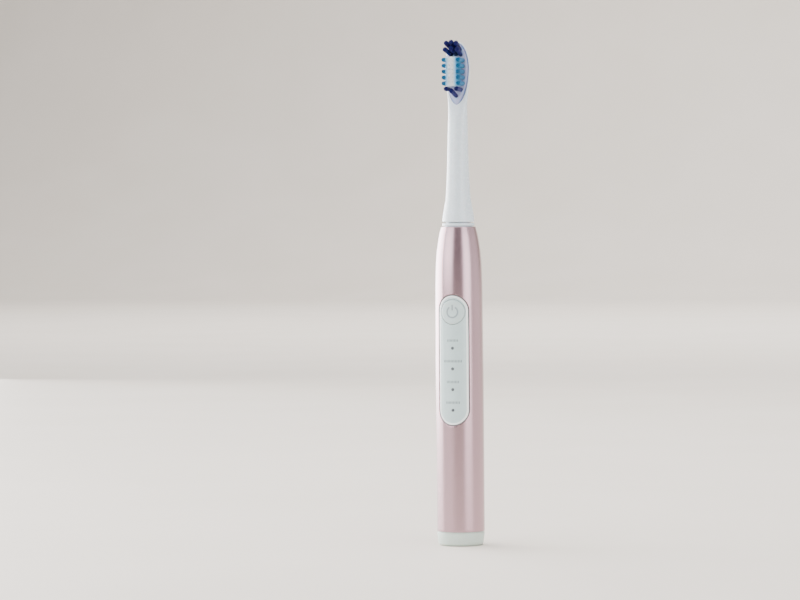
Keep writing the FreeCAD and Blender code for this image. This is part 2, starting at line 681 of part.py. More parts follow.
def stator_coils():
    """Two windings in the slots between the core's teeth, with end turns past the core."""
    low = CORE_BOTTOM - COIL_OVERHANG
    high = CORE_BOTTOM + CORE_LENGTH + COIL_OVERHANG
    band = ring(CORE_INNER_RADIUS - FIT, TOOTH_RADIUS, low, high)
    half = TOOTH_WIDTH / 2 + FIT
    slot = block(-FAR, FAR, -half, half, low, high)
    windings = band.cut(slot)
    return compound(windings.Solids)


def lead_y():
    return -(MOTOR_RADIUS + SHAFT_RADIUS) / 2


def motor_leads():
    """Two leads from the motor's base plate, down into the bay and forward to the board."""
    turn = (BAY_BOTTOM + BAY_TOP) / 2
    leads = []
    for side in (-1, 1):
        x = side * SCREW_RADIUS * 2
        drop = cylinder(LEAD_RADIUS, turn, MOTOR_BOTTOM, x, lead_y())
        run = pin(LEAD_RADIUS, BOARD_REAR, lead_y(), turn, x)
        bend = Part.makeSphere(LEAD_RADIUS, vec(x, lead_y(), turn))
        leads.append(drop.fuse([run, bend]))
    return compound(leads)


# Drive


def d_section(radius, flat, bottom, top):
    """A bar with a flat side facing -Y, at the given distance from its axis."""
    return cylinder(radius, bottom, top).cut(block(-FAR, FAR, -FAR, -flat, bottom, top))


def drive_shaft():
    shaft = cylinder(SHAFT_RADIUS, SHAFT_BOTTOM, SHAFT_TOP)
    ends = [edge for edge in shaft.Edges if len(edge.Vertexes) == 1]
    shaft = shaft.makeChamfer(SHAFT_TIP_CHAMFER, ends)
    low = SHAFT_TOP - FLAT_LENGTH
    return shaft.cut(block(-FAR, FAR, -FAR, -SHAFT_FLAT, low, SHAFT_TOP))


def rotor_hub():
    low = CORE_BOTTOM + (CORE_LENGTH - HUB_LENGTH) / 2
    return ring(HUB_RADIUS, SHAFT_RADIUS + FIT, low, low + HUB_LENGTH)


def rotor_magnets():
    low = CORE_BOTTOM + (CORE_LENGTH - MAGNET_LENGTH) / 2
    band = ring(MAGNET_RADIUS, HUB_RADIUS + FIT, low, low + MAGNET_LENGTH)
    magnets = []
    for i in range(MAGNET_COUNT):
        facing = (i + 0.5) * 360 / MAGNET_COUNT
        wedge = sector(FAR, MAGNET_ANGLE / 2, facing, low, low + MAGNET_LENGTH)
        magnets.append(band.common(wedge))
    return compound(magnets)


def shaft_circlip():
    low = MOTOR_TOP + CIRCLIP_GAP
    clip = ring(CIRCLIP_RADIUS, SHAFT_RADIUS + FIT, low, CIRCLIP_TOP)
    return clip.cut(block(-SHAFT_RADIUS / 2, SHAFT_RADIUS / 2, 0, FAR, low, CIRCLIP_TOP))


# Brush head


def section_wire(half_width, half_depth, middle, z):
    centre = vec(0, middle, z)
    if half_width == half_depth:
        return Part.Wire(Part.makeCircle(half_width, centre))
    ellipse = Part.Ellipse(centre, half_width, half_depth)
    return Part.Wire(ellipse.toShape())


def neck_form():
    wires = [section_wire(w, d, mid, NECK_FOOT + h) for h, w, d, mid in NECK_SECTIONS]
    return Part.makeLoft(wires, True, False)


def head_outline(scale, y):
    """The head's pointed oval in a plane square to Y, shrunk towards its widest point."""
    wide = HEAD_HALF_WIDTH * scale
    middle = NECK_FOOT + HEAD_WIDEST
    top = middle + (HEAD_TOP - HEAD_WIDEST) * scale
    tip = middle - (HEAD_WIDEST - HEAD_TIP) * scale
    shoulder = middle - (middle - tip) * HEAD_SHOULDER
    right = Part.BSplineCurve()
    guide = vec(wide * HEAD_SHOULDER_WIDTH, y, shoulder)
    points = [vec(0, y, tip), guide, vec(wide, y, middle), vec(0, y, top)]
    ease = vec(1, 0, 0)
    tangents = [ease, vec(HEAD_SHOULDER_SLOPE, 0, 1), vec(0, 0, 1), vec(-1, 0, 0)]
    right.interpolate(Points=points, Tangents=tangents)
    left = right.toShape().mirror(vec(0, y, 0), vec(1, 0, 0))
    return Part.Wire([right.toShape(), left])


def head_form(fullness, front, back):
    wires = [head_outline(scale, front + share * (back - front)) for share, scale in fullness]
    return Part.makeLoft(wires, True, False)


def tuft(radius, x, height, lean, splay):
    """A round bundle of bristles from the floor of its hole to its tip."""
    up = math.sin(math.radians(lean))
    out = math.sin(math.radians(splay))
    direction = vec(out, -math.sqrt(1 - up * up - out * out), up)
    start = vec(x, HEAD_FRONT, NECK_FOOT + height) - direction * TUFT_SINK
    return Part.makeCylinder(radius, TUFT_SINK + TUFT_REACH, start, direction)


def side_tufts_list(radius):
    rows = [TOP_ROW - i * ROW_PITCH for i in range(SIDE_ROWS)]
    return [tuft(radius, x, z, 0, 0) for z in rows for x in (-SIDE_TUFT_X, SIDE_TUFT_X)]


def field_tufts_list(radius):
    middle = TOP_ROW - (SIDE_ROWS - 1) * ROW_PITCH / 2
    tufts = []
    for row in range(FIELD_ROWS):
        z = middle + (row - (FIELD_ROWS - 1) / 2) * FIELD_ROW_PITCH
        for column in range(FIELD_COLUMNS):
            x = (column - (FIELD_COLUMNS - 1) / 2) * FIELD_COLUMN_PITCH
            tufts.append(tuft(radius, x, z, 0, 0))
    return tufts


def dark_tufts_list(places, radius):
    return [tuft(radius, x, z, lean, splay) for x, z, lean, splay in places]


def tuft_holes():
    holes = side_tufts_list(TUFT_RADIUS + FIT) + field_tufts_list(FIELD_TUFT_RADIUS + FIT)
    holes += dark_tufts_list(TIP_TUFTS + HEEL_TUFTS, TUFT_RADIUS + FIT)
    return compound(holes)


def plate_form():
    return head_form(PLATE_FULLNESS, HEAD_FRONT, HEAD_SPLIT)


def brush_neck():
    neck = neck_form().fuse(head_form(BACK_FULLNESS, HEAD_SPLIT, HEAD_BACK))
    ahead = head_form(((0.0, 1.0), (1.0, 1.0)), HEAD_FRONT - TUFT_REACH, HEAD_SPLIT)
    neck = neck.cut(ahead).cut(tuft_holes())
    pocket_top = NECK_FOOT + NECK_POCKET_DEPTH
    pocket = Part.makeCone(
        NECK_POCKET_RADIUS, NECK_POCKET_TOP_RADIUS, NECK_POCKET_DEPTH, vec(0, 0, NECK_FOOT)
    )
    neck = neck.cut(pocket)
    return neck.cut(cylinder(SLEEVE_RADIUS + FIT, pocket_top, SLEEVE_TOP))


def bristle_plate():
    return plate_form().cut(tuft_holes())


def shaft_sleeve():
    sleeve = cylinder(SLEEVE_RADIUS, SLEEVE_FOOT, SLEEVE_TOP)
    bore_top = SHAFT_TOP + SLEEVE_TIP_GAP
    sleeve = sleeve.cut(d_section(SHAFT_BORE, SHAFT_FLAT + RUNNING, SLEEVE_FOOT, bore_top))
    low = SLEEVE_FOOT + CLIP_ABOVE_SLEEVE_FOOT
    half = CLIP_WIDTH / 2 + RUNNING
    back = -(SHAFT_FLAT + CLIP_GAP + CLIP_THICKNESS)
    slot = block(-half, half, back, 0, low - RUNNING, low + CLIP_LENGTH + RUNNING)
    return sleeve.cut(slot)


def retaining_clip():
    low = SLEEVE_FOOT + CLIP_ABOVE_SLEEVE_FOOT
    front = -(SHAFT_FLAT + CLIP_GAP + CLIP_THICKNESS)
    half = CLIP_WIDTH / 2
    return block(-half, half, front, front + CLIP_THICKNESS, low, low + CLIP_LENGTH)


def side_tufts():
    return compound(side_tufts_list(TUFT_RADIUS))


def field_tufts():
    return compound(field_tufts_list(FIELD_TUFT_RADIUS))


def tip_tufts():
    return compound(dark_tufts_list(TIP_TUFTS, TUFT_RADIUS))


def heel_tufts():
    return compound(dark_tufts_list(HEEL_TUFTS, TUFT_RADIUS))


PIECES = (
    handle_shell, base_cap, base_seal, top_collar, shaft_seal,
    control_panel, panel_gasket, indicator_windows, power_button,
    circuit_board, circuit_parts, indicator_leds, tact_switch, switch_plunger, board_screws,
    battery_cell, battery_tabs, coil_former, charging_coil, ferrite_shield, coil_leads,
    chassis, motor_housing, motor_end_cap, front_bearing, rear_bearing, motor_dampers,
    stator_core, stator_coils, motor_leads,
    drive_shaft, rotor_hub, rotor_magnets, shaft_circlip,
    brush_neck, bristle_plate, shaft_sleeve, retaining_clip,
    side_tufts, field_tufts, tip_tufts, heel_tufts,
)

os.makedirs("parts", exist_ok=True)
for piece in PIECES:
    shape = piece()
    shape.exportStep("parts/" + piece.__name__ + ".step")
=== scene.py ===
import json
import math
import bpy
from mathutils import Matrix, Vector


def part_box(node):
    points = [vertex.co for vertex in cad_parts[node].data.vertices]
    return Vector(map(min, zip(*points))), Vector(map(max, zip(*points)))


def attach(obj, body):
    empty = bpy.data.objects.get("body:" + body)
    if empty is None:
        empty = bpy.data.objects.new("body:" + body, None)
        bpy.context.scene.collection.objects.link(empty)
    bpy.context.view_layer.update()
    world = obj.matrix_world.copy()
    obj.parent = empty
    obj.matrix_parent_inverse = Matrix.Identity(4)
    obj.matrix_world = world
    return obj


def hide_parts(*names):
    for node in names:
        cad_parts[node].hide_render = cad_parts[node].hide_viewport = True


bl_info = {
    "name": "Sonic Toothbrush",
    "version": (1, 0, 0),
    "blender": (4, 5, 0),
    "location": "View3D > Sidebar > Toothbrush",
    "description": "Builds the outer pieces, bristles and finishes of a slim sonic toothbrush",
    "category": "Object",
}

import bmesh
import bpy
from mathutils import Matrix, Vector

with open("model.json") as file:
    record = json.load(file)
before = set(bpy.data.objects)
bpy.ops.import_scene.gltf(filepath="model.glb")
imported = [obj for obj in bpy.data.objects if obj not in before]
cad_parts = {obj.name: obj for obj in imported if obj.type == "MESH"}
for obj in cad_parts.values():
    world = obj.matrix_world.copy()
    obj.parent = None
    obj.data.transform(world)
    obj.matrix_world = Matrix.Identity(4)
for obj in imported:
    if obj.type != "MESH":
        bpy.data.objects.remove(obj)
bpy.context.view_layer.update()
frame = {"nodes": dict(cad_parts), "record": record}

MM = 0.001
GOLDEN_ANGLE = math.pi * (3 - math.sqrt(5))
HANDLE, BUTTON, HEAD = "handle", "button", "brush_head"

# Places read from the frame
SHELL_LOW, SHELL_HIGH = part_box("handle_shell")
GASKET_LOW, GASKET_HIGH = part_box("panel_gasket")
BUTTON_LOW, BUTTON_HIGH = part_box("power_button")
WINDOWS_LOW, WINDOWS_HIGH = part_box("indicator_windows")
COLLAR_LOW, COLLAR_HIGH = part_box("top_collar")
CAP_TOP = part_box("base_cap")[1].z
NECK_LOW, NECK_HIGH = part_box("brush_neck")
PLATE_LOW, PLATE_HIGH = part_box("bristle_plate")
SEAL_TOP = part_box("shaft_seal")[1].z
SLEEVE_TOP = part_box("shaft_sleeve")[1].z
RECESS = next(m for m in frame["record"]["mounts"] if m["name"] == "charger_recess")

# Handle
HANDLE_RADIUS = 11.4 * MM
WALL = 1.2 * MM
RIM_BORE = 6.95 * MM
RIM_DEPTH = 4.0 * MM
# Shoulder outline: distance below the shell's rim, inset from the straight radius
SHOULDER = (
    (0.0, 3.2),
    (3.6, 2.27),
    (7.5, 1.6),
    (12.0, 0.97),
    (18.5, 0.5),
    (30.0, 0.21),
    (52.5, 0.1),
    (71.5, 0.0),
)
GASKET_WIDTH = 0.3 * MM
FIT = 0.03 * MM

# Collar
COLLAR_BORE = 5.0 * MM
COLLAR_LIP = 4.2 * MM
COLLAR_GROOVE = 0.75 * MM
COLLAR_BOSS = 5.9 * MM

# Control panel and button
PANEL_HALF = GASKET_HIGH.x - GASKET_WIDTH - 2 * FIT
PANEL_REACH = (GASKET_HIGH.z - GASKET_LOW.z) / 2 - GASKET_HIGH.x
PANEL_CENTRE = (GASKET_HIGH.z + GASKET_LOW.z) / 2
BUTTON_CENTRE = (BUTTON_HIGH.z + BUTTON_LOW.z) / 2
BUTTON_RADIUS = (BUTTON_HIGH.x - BUTTON_LOW.x) / 2 - 0.5 * MM
BUTTON_GAP = 0.2 * MM
BUTTON_PROUD = 0.1 * MM  # the button's rim over the handle's surface
POST_RADIUS = 0.8 * MM  # the post behind the button that meets the switch's plunger
LENS_RADIUS = WINDOWS_HIGH.x
INDICATOR_FIRST = WINDOWS_LOW.z + LENS_RADIUS
INDICATOR_LAST = WINDOWS_HIGH.z - LENS_RADIUS
INDICATORS = 4
PANEL_RIM = 0.9 * MM
FACE_DROP = 0.1 * MM  # the panel's face lies this far under its rim
INSERT_BACK = WALL + 0.7 * MM  # how deep the panel and the lenses reach
# Widths of the rows of strokes printed over the indicators, from the lowest up
LABEL_WIDTHS = (7.0 * MM, 6.3 * MM, 9.1 * MM, 5.6 * MM)
STROKE_LENGTH = 0.34 * MM
STROKE_PITCH = 0.7 * MM
LABEL_RISE = 3.6 * MM

# Neck and head: height above the foot, half width, middle along Y, front depth, back depth
NECK = (
    (0.0, 7.7, 0.0, 7.7, 7.7),
    (2.9, 7.4, 0.0, 7.4, 7.4),
    (5.8, 6.9, 0.0, 6.9, 6.9),
    (8.7, 6.4, 0.0, 6.4, 6.4),
    (11.5, 5.95, 0.0, 5.95, 5.95),
    (17.0, 5.6, 0.0, 5.6, 5.6),
    (25.8, 5.2, 0.0, 5.1, 5.1),
    (34.0, 5.0, 0.1, 4.7, 4.6),
    (43.0, 4.85, 0.3, 4.1, 4.0),
    (50.0, 4.65, 0.5, 3.3, 3.4),
    (54.5, 4.55, 0.7, 2.5, 3.0),
    (58.0, 4.75, 0.85, 1.75, 2.75),
    (61.5, 5.15, 0.9, 1.4, 2.55),
    (66.0, 5.72, 0.9, 1.3, 2.45),
    (73.3, 6.2, 0.9, 1.3, 2.4),
)
HEAD_WIDEST = 73.3
HEAD_TOP = 85.75
PLATE_TIP = 53.5
PLATE_HALF = 6.2 * MM
TUFT_REACH = 9.4 * MM  # from the plate's front to the bristles' tips
SPLIT_Y = PLATE_HIGH.y
FRONT_Y = PLATE_LOW.y
REACH_SHARE = 0.954  # the splayed filaments stay inside their tuft's box
TIP_TAPER = 0.15  # how much narrower a filament is at its tip

MERGE = 0.2e-6
SHARP = math.radians(38)

# CAD nodes that a piece replaces or that keep a finish of their own
OUTER_NODES = {
    "handle_shell", "base_cap", "top_collar", "control_panel", "indicator_windows", "power_button",
    "brush_neck", "bristle_plate", "side_tufts", "field_tufts", "tip_tufts", "heel_tufts",
    "panel_gasket", "shaft_seal", "base_seal", "motor_dampers",
}


def srgb(code):
    """Linear colour from a hex code."""
    values = [int(code[i:i + 2], 16) / 255 for i in (0, 2, 4)]
    return [v / 12.92 if v <= 0.04045 else ((v + 0.055) / 1.055) ** 2.4 for v in values]


def smooth(table, x):
    """A smooth curve without overshoot through (x, y) pairs that rise in x."""
    xs = [p[0] for p in table]
    ys = [p[1] for p in table]
    if x <= xs[0]:
        return ys[0]
    if x >= xs[-1]:
        return ys[-1]
    steps = [xs[i + 1] - xs[i] for i in range(len(xs) - 1)]
    slopes = [(ys[i + 1] - ys[i]) / steps[i] for i in range(len(steps))]
    tangents = [slopes[0]]
    for a, b in zip(slopes, slopes[1:]):
        tangents.append(0.0 if a * b <= 0 else 2 * a * b / (a + b))
    tangents.append(slopes[-1])
    i = max(k for k in range(len(steps)) if xs[k] <= x)
    t = (x - xs[i]) / steps[i]
    h = steps[i]
    return (
        (1 + 2 * t) * (1 - t) ** 2 * ys[i]
        + t * (1 - t) ** 2 * h * tangents[i]
        + t * t * (3 - 2 * t) * ys[i + 1]
        + t * t * (t - 1) * h * tangents[i + 1]
    )


def handle_radius(z):
    """The handle's outer radius at a height."""
    return HANDLE_RADIUS - smooth(SHOULDER, (SHELL_HIGH.z - z) / MM) * MM


# Meshes


def new_object(name, mesh):
    obj = bpy.data.objects.new(name, mesh)
    bpy.context.scene.collection.objects.link(obj)
    return obj


def mesh_from(name, verts, faces):
    mesh = bpy.data.meshes.new(name)
    mesh.from_pydata([tuple(v) for v in verts], [], faces)
    clean_up(mesh)
    return mesh


def clean_up(mesh):
    """Merges doubles, drops loose edges, points the normals outwards and keeps only real edges sharp."""
    bm = bmesh.new()
    bm.from_mesh(mesh)
    bmesh.ops.remove_doubles(bm, verts=bm.verts, dist=MERGE)
    bmesh.ops.dissolve_degenerate(bm, edges=bm.edges, dist=MERGE)
    loose = [edge for edge in bm.edges if not edge.link_faces]
    bmesh.ops.delete(bm, geom=loose, context="EDGES")
    bmesh.ops.recalc_face_normals(bm, faces=bm.faces)
    bm.to_mesh(mesh)
    bm.free()
    mesh.shade_smooth()
    mesh.set_sharp_from_angle(angle=SHARP)


def loft(name, rings, cap_first=True, cap_last=True):
    """A skin over closed rings of points that all have the same number of points."""
    count = len(rings[0])
    verts = [p for ring in rings for p in ring]
    faces = []
    for r in range(len(rings) - 1):
        for k in range(count):
            a = r * count + k
            b = r * count + (k + 1) % count
            faces.append((a, b, b + count, a + count))
    if cap_first:
        faces.append(tuple(range(count))[::-1])
    if cap_last:
        faces.append(tuple(range((len(rings) - 1) * count, len(rings) * count)))
    return mesh_from(name, verts, faces)


def joined(name, meshes):
    """One object from several meshes."""
    bm = bmesh.new()
    for mesh in meshes:
        bm.from_mesh(mesh)
        bpy.data.meshes.remove(mesh)
    whole = bpy.data.meshes.new(name)
    bm.to_mesh(whole)
    bm.free()
    whole.shade_smooth()
    whole.set_sharp_from_angle(angle=SHARP)
    return new_object(name, whole)


def settle(obj):
    """Swaps an object's mesh for its evaluated one, and drops its modifiers."""
    graph = bpy.context.evaluated_depsgraph_get()
    mesh = bpy.data.meshes.new_from_object(obj.evaluated_get(graph), depsgraph=graph)
    obj.modifiers.clear()
    old = obj.data
    obj.data = mesh
    bpy.data.meshes.remove(old)
    return obj


def cut(obj, cutters):
    """Takes closed meshes out of an object."""
    tools = [new_object(obj.name + "_cutter", mesh) for mesh in cutters]
    for tool in tools:
        modifier = obj.modifiers.new("Cut", "BOOLEAN")
        modifier.object = tool
        modifier.operation = "DIFFERENCE"
        modifier.solver = "EXACT"
    settle(obj)
    for tool in tools:
        bpy.data.meshes.remove(tool.data)
    clean_up(obj.data)
    return obj


def finish_piece(obj, body, material, slot, *nodes):
    """Gives a piece its material and its body, and hides the CAD nodes that it stands for. The slot is not
    used.
    """
    obj.data.materials.clear()
    obj.data.materials.append(material)
    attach(obj, body)
    if nodes:
        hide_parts(*nodes)
    return obj


def repaint(material, *nodes):
    """Gives CAD nodes that show as they are a material."""
    for node in nodes:
        mesh = frame["nodes"][node].data
        mesh.materials.clear()
        mesh.materials.append(material)


def stadium(half, reach, inward, segments):
    """Points (x, z) of an obround outline moved inwards, about its own centre."""
    radius = max(half - inward, 0.0)
    points = []
    for end in (1, -1):
        for k in range(segments + 1):
            a = math.pi * k / segments
            points.append((end * radius * math.cos(a), end * (reach + radius * math.sin(a))))
    side = 2 * reach
    rows = max(int(side / (1.0 * MM)), 1)
    outline = []
    for k, (x, z) in enumerate(points):
        outline.append((x, z))
        if k in (segments, 2 * segments + 1) and reach > 0:
            step = -1 if k == segments else 1
            outline += [(x, z + step * side * j / rows) for j in range(1, rows)]
    return outline


def on_handle(x, z, height):
    """A point at the handle's front, at the given height over the handle's surface."""
    radius = handle_radius(z) + height
    return Vector((x, -math.sqrt(max(radius * radius - x * x, 0.0)), z))


def pad(name, half, reach, centre, layers, segments):
    """A closed pad that follows the handle's surface; layers are (inset of the outline, height)."""
    rings = []
    for inward, height in layers:
        outline = stadium(half, reach, inward, segments)
        rings.append([on_handle(x, centre + z, height) for x, z in outline])
    return loft(name, rings)


def pad_layers(half, side, crown, back, face, dish=0.0, spacing=0.7 * MM):
    """Layers from the back's middle, round the side, to the middle of the face."""
    steps = max(int(half / spacing), 3)
    inner = [half - half * k / steps for k in range(steps)]
    layers = [(inward, back) for inward in inner] + [(0.0, back)]
    layers += list(side) + list(crown)
    start = crown[-1][0]
    for k in range(1, steps + 1):
        inward = start + (half - start) * k / steps
        share = (inward - start) / (half - start)
        layers.append((inward, face - dish * math.sin(share * math.pi / 2) ** 2))
    return layers


def opening(half, reach, centre, depth, segments, soft=0.12 * MM):
    """A cutter for a hole in the handle's wall, with a softened outer edge."""
    layers = [
        (0.0, -depth),
        (0.0, -soft),
        (-0.08 * soft, -0.6 * soft),
        (-0.3 * soft, -0.3 * soft),
        (-0.65 * soft, -0.08 * soft),
        (-1.1 * soft, 0.02 * soft),
        (-1.6 * soft, 2 * soft),
        (-1.6 * soft, half),
    ]
    return pad("opening", half, reach, centre, layers, segments)


# Geometry Nodes


class Wiring:
    """Adds nodes to a tree and links them as they are added."""

    def __init__(self, tree):
        self.tree = tree

    def add(self, kind, links=None, **settings):
        node = self.tree.nodes.new(kind)
        for key, value in settings.items():
            setattr(node, key, value)
        for socket, source in (links or {}).items():
            if isinstance(source, bpy.types.NodeSocket):
                self.tree.links.new(source, node.inputs[socket])
            else:
                node.inputs[socket].default_value = source
        return node

    def math(self, operation, *values):
        return self.add("ShaderNodeMath", dict(enumerate(values)), operation=operation).outputs[0]

    def split(self, vector):
        return self.add("ShaderNodeSeparateXYZ", {0: vector}).outputs


class Recipe(Wiring):
    """A geometry tree that makes a painted piece; its inputs are (name, kind, default)."""

    def __init__(self, name, *sockets):
        tree = bpy.data.node_groups.new(name, "GeometryNodeTree")
        tree.interface.new_socket("Geometry", in_out="INPUT", socket_type="NodeSocketGeometry")
        for label, kind, default in sockets:
            item = tree.interface.new_socket(label, in_out="INPUT", socket_type="NodeSocket" + kind)
            item.default_value = default
        tree.interface.new_socket("Material", in_out="INPUT", socket_type="NodeSocketMaterial")
        tree.interface.new_socket("Geometry", in_out="OUTPUT", socket_type="NodeSocketGeometry")
        super().__init__(tree)
        self.inputs = tree.nodes.new("NodeGroupInput").outputs

    def vector(self, x, y, z):
        return self.add("ShaderNodeCombineXYZ", {0: x, 1: y, 2: z}).outputs[0]

    def random(self, low, high, seed):
        links = {2: low, 3: high, "Seed": seed}  # 2 and 3 are the float range
        return self.add("FunctionNodeRandomValue", links, data_type="FLOAT").outputs[1]

    def attribute(self, name, kind):
        return self.add("GeometryNodeInputNamedAttribute", {"Name": name}, data_type=kind).outputs[0]

    def moved(self, geometry, position):
        links = {"Geometry": geometry, "Position": position}
        return self.add("GeometryNodeSetPosition", links).outputs[0]

    def planted(self, points, instance, rotation, scale):
        links = {"Points": points, "Instance": instance, "Rotation": rotation, "Scale": scale}
        return self.add("GeometryNodeInstanceOnPoints", links).outputs[0]

    def finish(self, geometry):
        realized = self.add("GeometryNodeRealizeInstances", {"Geometry": geometry}).outputs[0]
        links = {"Geometry": realized, "Material": self.inputs["Material"]}
        painted = self.add("GeometryNodeSetMaterial", links).outputs[0]
        self.add("NodeGroupOutput", {"Geometry": painted})
        return self.tree


def turned_piece(title):
    """Spins a row of profile points round the Z axis into a closed skin."""
    w = Recipe(title, ("Segments", "Int", 128))
    profile = w.inputs["Geometry"]
    count = w.add("GeometryNodeAttributeDomainSize", {"Geometry": profile}).outputs["Point Count"]
    columns = w.math("ADD", w.inputs["Segments"], 1.0)
    grid = w.add("GeometryNodeMeshGrid", {"Vertices X": columns, "Vertices Y": count})
    index = w.add("GeometryNodeInputIndex").outputs[0]
    row = w.math("MODULO", index, count)
    column = w.math("FLOOR", w.math("DIVIDE", w.math("ADD", index, 0.5), count))
    position = w.add("GeometryNodeInputPosition").outputs[0]
    sample = w.add("GeometryNodeSampleIndex", data_type="FLOAT_VECTOR")
    w.tree.links.new(profile, sample.inputs["Geometry"])
    w.tree.links.new(position, sample.inputs["Value"])
    w.tree.links.new(row, sample.inputs["Index"])
    parts = w.split(sample.outputs[0])
    angle = w.math("MULTIPLY", w.math("DIVIDE", column, w.inputs["Segments"]), 2 * math.pi)
    x = w.math("MULTIPLY", parts[0], w.math("COSINE", angle))
    y = w.math("MULTIPLY", parts[0], w.math("SINE", angle))
    placed = w.moved(grid.outputs["Mesh"], w.vector(x, y, parts[2]))
    links = {"Geometry": placed, "Distance": MERGE}
    return w.finish(w.add("GeometryNodeMergeByDistance", links).outputs[0])


def bristle_tufts(title):
    """Plants a round bundle of tapered filaments on every point of the input."""
    w = Recipe(
        title,
        ("Filaments", "Int", 56),
        ("Tuft Radius", "Float", 0.9 * MM),
        ("Filament Radius", "Float", 0.09 * MM),
        ("Flare", "Float", 0.15 * MM),
        ("Wander", "Float", 0.1 * MM),
        ("Trim", "Float", 0.02),
        ("Seed", "Int", 0),
    )
    given = w.inputs
    index = w.add("GeometryNodeInputIndex").outputs[0]
    share = w.math("SQRT", w.math("DIVIDE", w.math("ADD", index, 0.5), given["Filaments"]))
    angle = w.math("MULTIPLY", index, GOLDEN_ANGLE)
    away_x = w.math("MULTIPLY", share, w.math("COSINE", angle))
    away_y = w.math("MULTIPLY", share, w.math("SINE", angle))
    inner = w.math("SUBTRACT", given["Tuft Radius"], given["Filament Radius"])
    place = w.vector(w.math("MULTIPLY", away_x, inner), w.math("MULTIPLY", away_y, inner), 0.0)
    points = w.add("GeometryNodePoints", {"Count": given["Filaments"], "Position": place}).outputs[0]
    links = {"Vertices": 6, "Side Segments": 3, "Radius": given["Filament Radius"], "Depth": 1.0}
    rod = w.add("GeometryNodeMeshCylinder", links).outputs["Mesh"]
    spot = w.split(w.add("GeometryNodeInputPosition").outputs[0])
    along = w.math("ADD", spot[2], 0.5)
    gathered = w.math("SUBTRACT", 1.0, w.math("POWER", w.math("SUBTRACT", 1.0, along), 3.0))
    taper = w.math("SUBTRACT", 1.0, w.math("MULTIPLY", w.math("GREATER_THAN", along, 0.99), TIP_TAPER))
    shaped = w.vector(w.math("MULTIPLY", spot[0], taper), w.math("MULTIPLY", spot[1], taper), gathered)
    filament = w.moved(rod, shaped)
    aside = w.math("MULTIPLY", given["Wander"], -1.0)
    swing_x = w.random(aside, given["Wander"], given["Seed"])
    swing_y = w.random(aside, given["Wander"], w.math("ADD", given["Seed"], 1))
    tilt_x = w.math("SUBTRACT", swing_x, w.math("MULTIPLY", away_y, given["Flare"]))
    tilt_y = w.math("ADD", swing_y, w.math("MULTIPLY", away_x, given["Flare"]))
    length = w.random(w.math("SUBTRACT", 1.0, given["Trim"]), 1.0, w.math("ADD", given["Seed"], 2))
    bundle = w.planted(points, filament, w.vector(tilt_x, tilt_y, 0.0), w.vector(1.0, 1.0, length))
    packed = w.add("GeometryNodeRealizeInstances", {"Geometry": bundle}).outputs[0]
    links = {"Vector": w.attribute("direction", "FLOAT_VECTOR")}
    facing = w.add("FunctionNodeAlignRotationToVector", links, axis="Z").outputs[0]
    scale = w.vector(1.0, 1.0, w.attribute("reach", "FLOAT"))
    return w.finish(w.planted(given["Geometry"], packed, facing, scale))


def printed_dashes(title):
    """Prints a short flat dash on every point of the input, lying on the surface there."""
    w = Recipe(
        title,
        ("Length", "Float", 0.3 * MM),
        ("Height", "Float", 0.8 * MM),
        ("Thickness", "Float", 0.03 * MM),
    )
    given = w.inputs
    half = w.math("MULTIPLY", given["Length"], 0.5)
    start = w.vector(w.math("MULTIPLY", half, -1.0), 0.0, 0.0)
    line = w.add("GeometryNodeCurvePrimitiveLine", {"Start": start, "End": w.vector(half, 0.0, 0.0)})
    radius = w.math("MULTIPLY", given["Height"], 0.5)
    circle = w.add("GeometryNodeCurvePrimitiveCircle", {"Resolution": 12, "Radius": radius})
    links = {"Curve": line.outputs[0], "Profile Curve": circle.outputs[0], "Fill Caps": True}
    bar = w.add("GeometryNodeCurveToMesh", links).outputs[0]
    flat = w.math("DIVIDE", given["Thickness"], radius)
    links = {"Vector": w.attribute("direction", "FLOAT_VECTOR")}
    facing = w.add("FunctionNodeAlignRotationToVector", links, axis="Y", pivot_axis="Z").outputs[0]
    scale = w.vector(w.math("DIVIDE", w.attribute("reach", "FLOAT"), given["Length"]), flat, 1.0)
    return w.finish(w.planted(given["Geometry"], bar, facing, scale))


def grow(name, mesh, maker, values):
    """Runs a geometry tree on a mesh and returns the plain result; the tree is made on first use."""
    title = maker.__name__.replace("_", " ").title()
    tree = bpy.data.node_groups.get(title) or maker(title)
    obj = new_object(name, mesh)
    modifier = obj.modifiers.new("Build", "NODES")
    modifier.node_group = tree
    named = {item.name: item.identifier for item in tree.interface.items_tree if item.in_out == "INPUT"}
    for label, value in values.items():
        modifier[named[label]] = value
    return settle(obj)


def turned(name, profile, segments, material):
    """A piece turned from a closed outline of (radius, height) points."""
    mesh = bpy.data.meshes.new(name)
    mesh.from_pydata([(r, 0, z) for r, z in profile + profile[:1]], [], [])
    obj = grow(name, mesh, turned_piece, {"Segments": segments, "Material": material})
    clean_up(obj.data)
    return obj


def arc(centre, radius, start, end, steps):
    """Points (r, z) on an arc, angles in degrees from the outward direction."""
    points = []
    for k in range(steps + 1):
        a = math.radians(start + (end - start) * k / steps)
        points.append((centre[0] + radius * math.cos(a), centre[1] + radius * math.sin(a)))
    return points


def heights(low, high, step):
    count = max(round((high - low) / step), 1)
    return [low + (high - low) * k / count for k in range(count + 1)]


# Materials


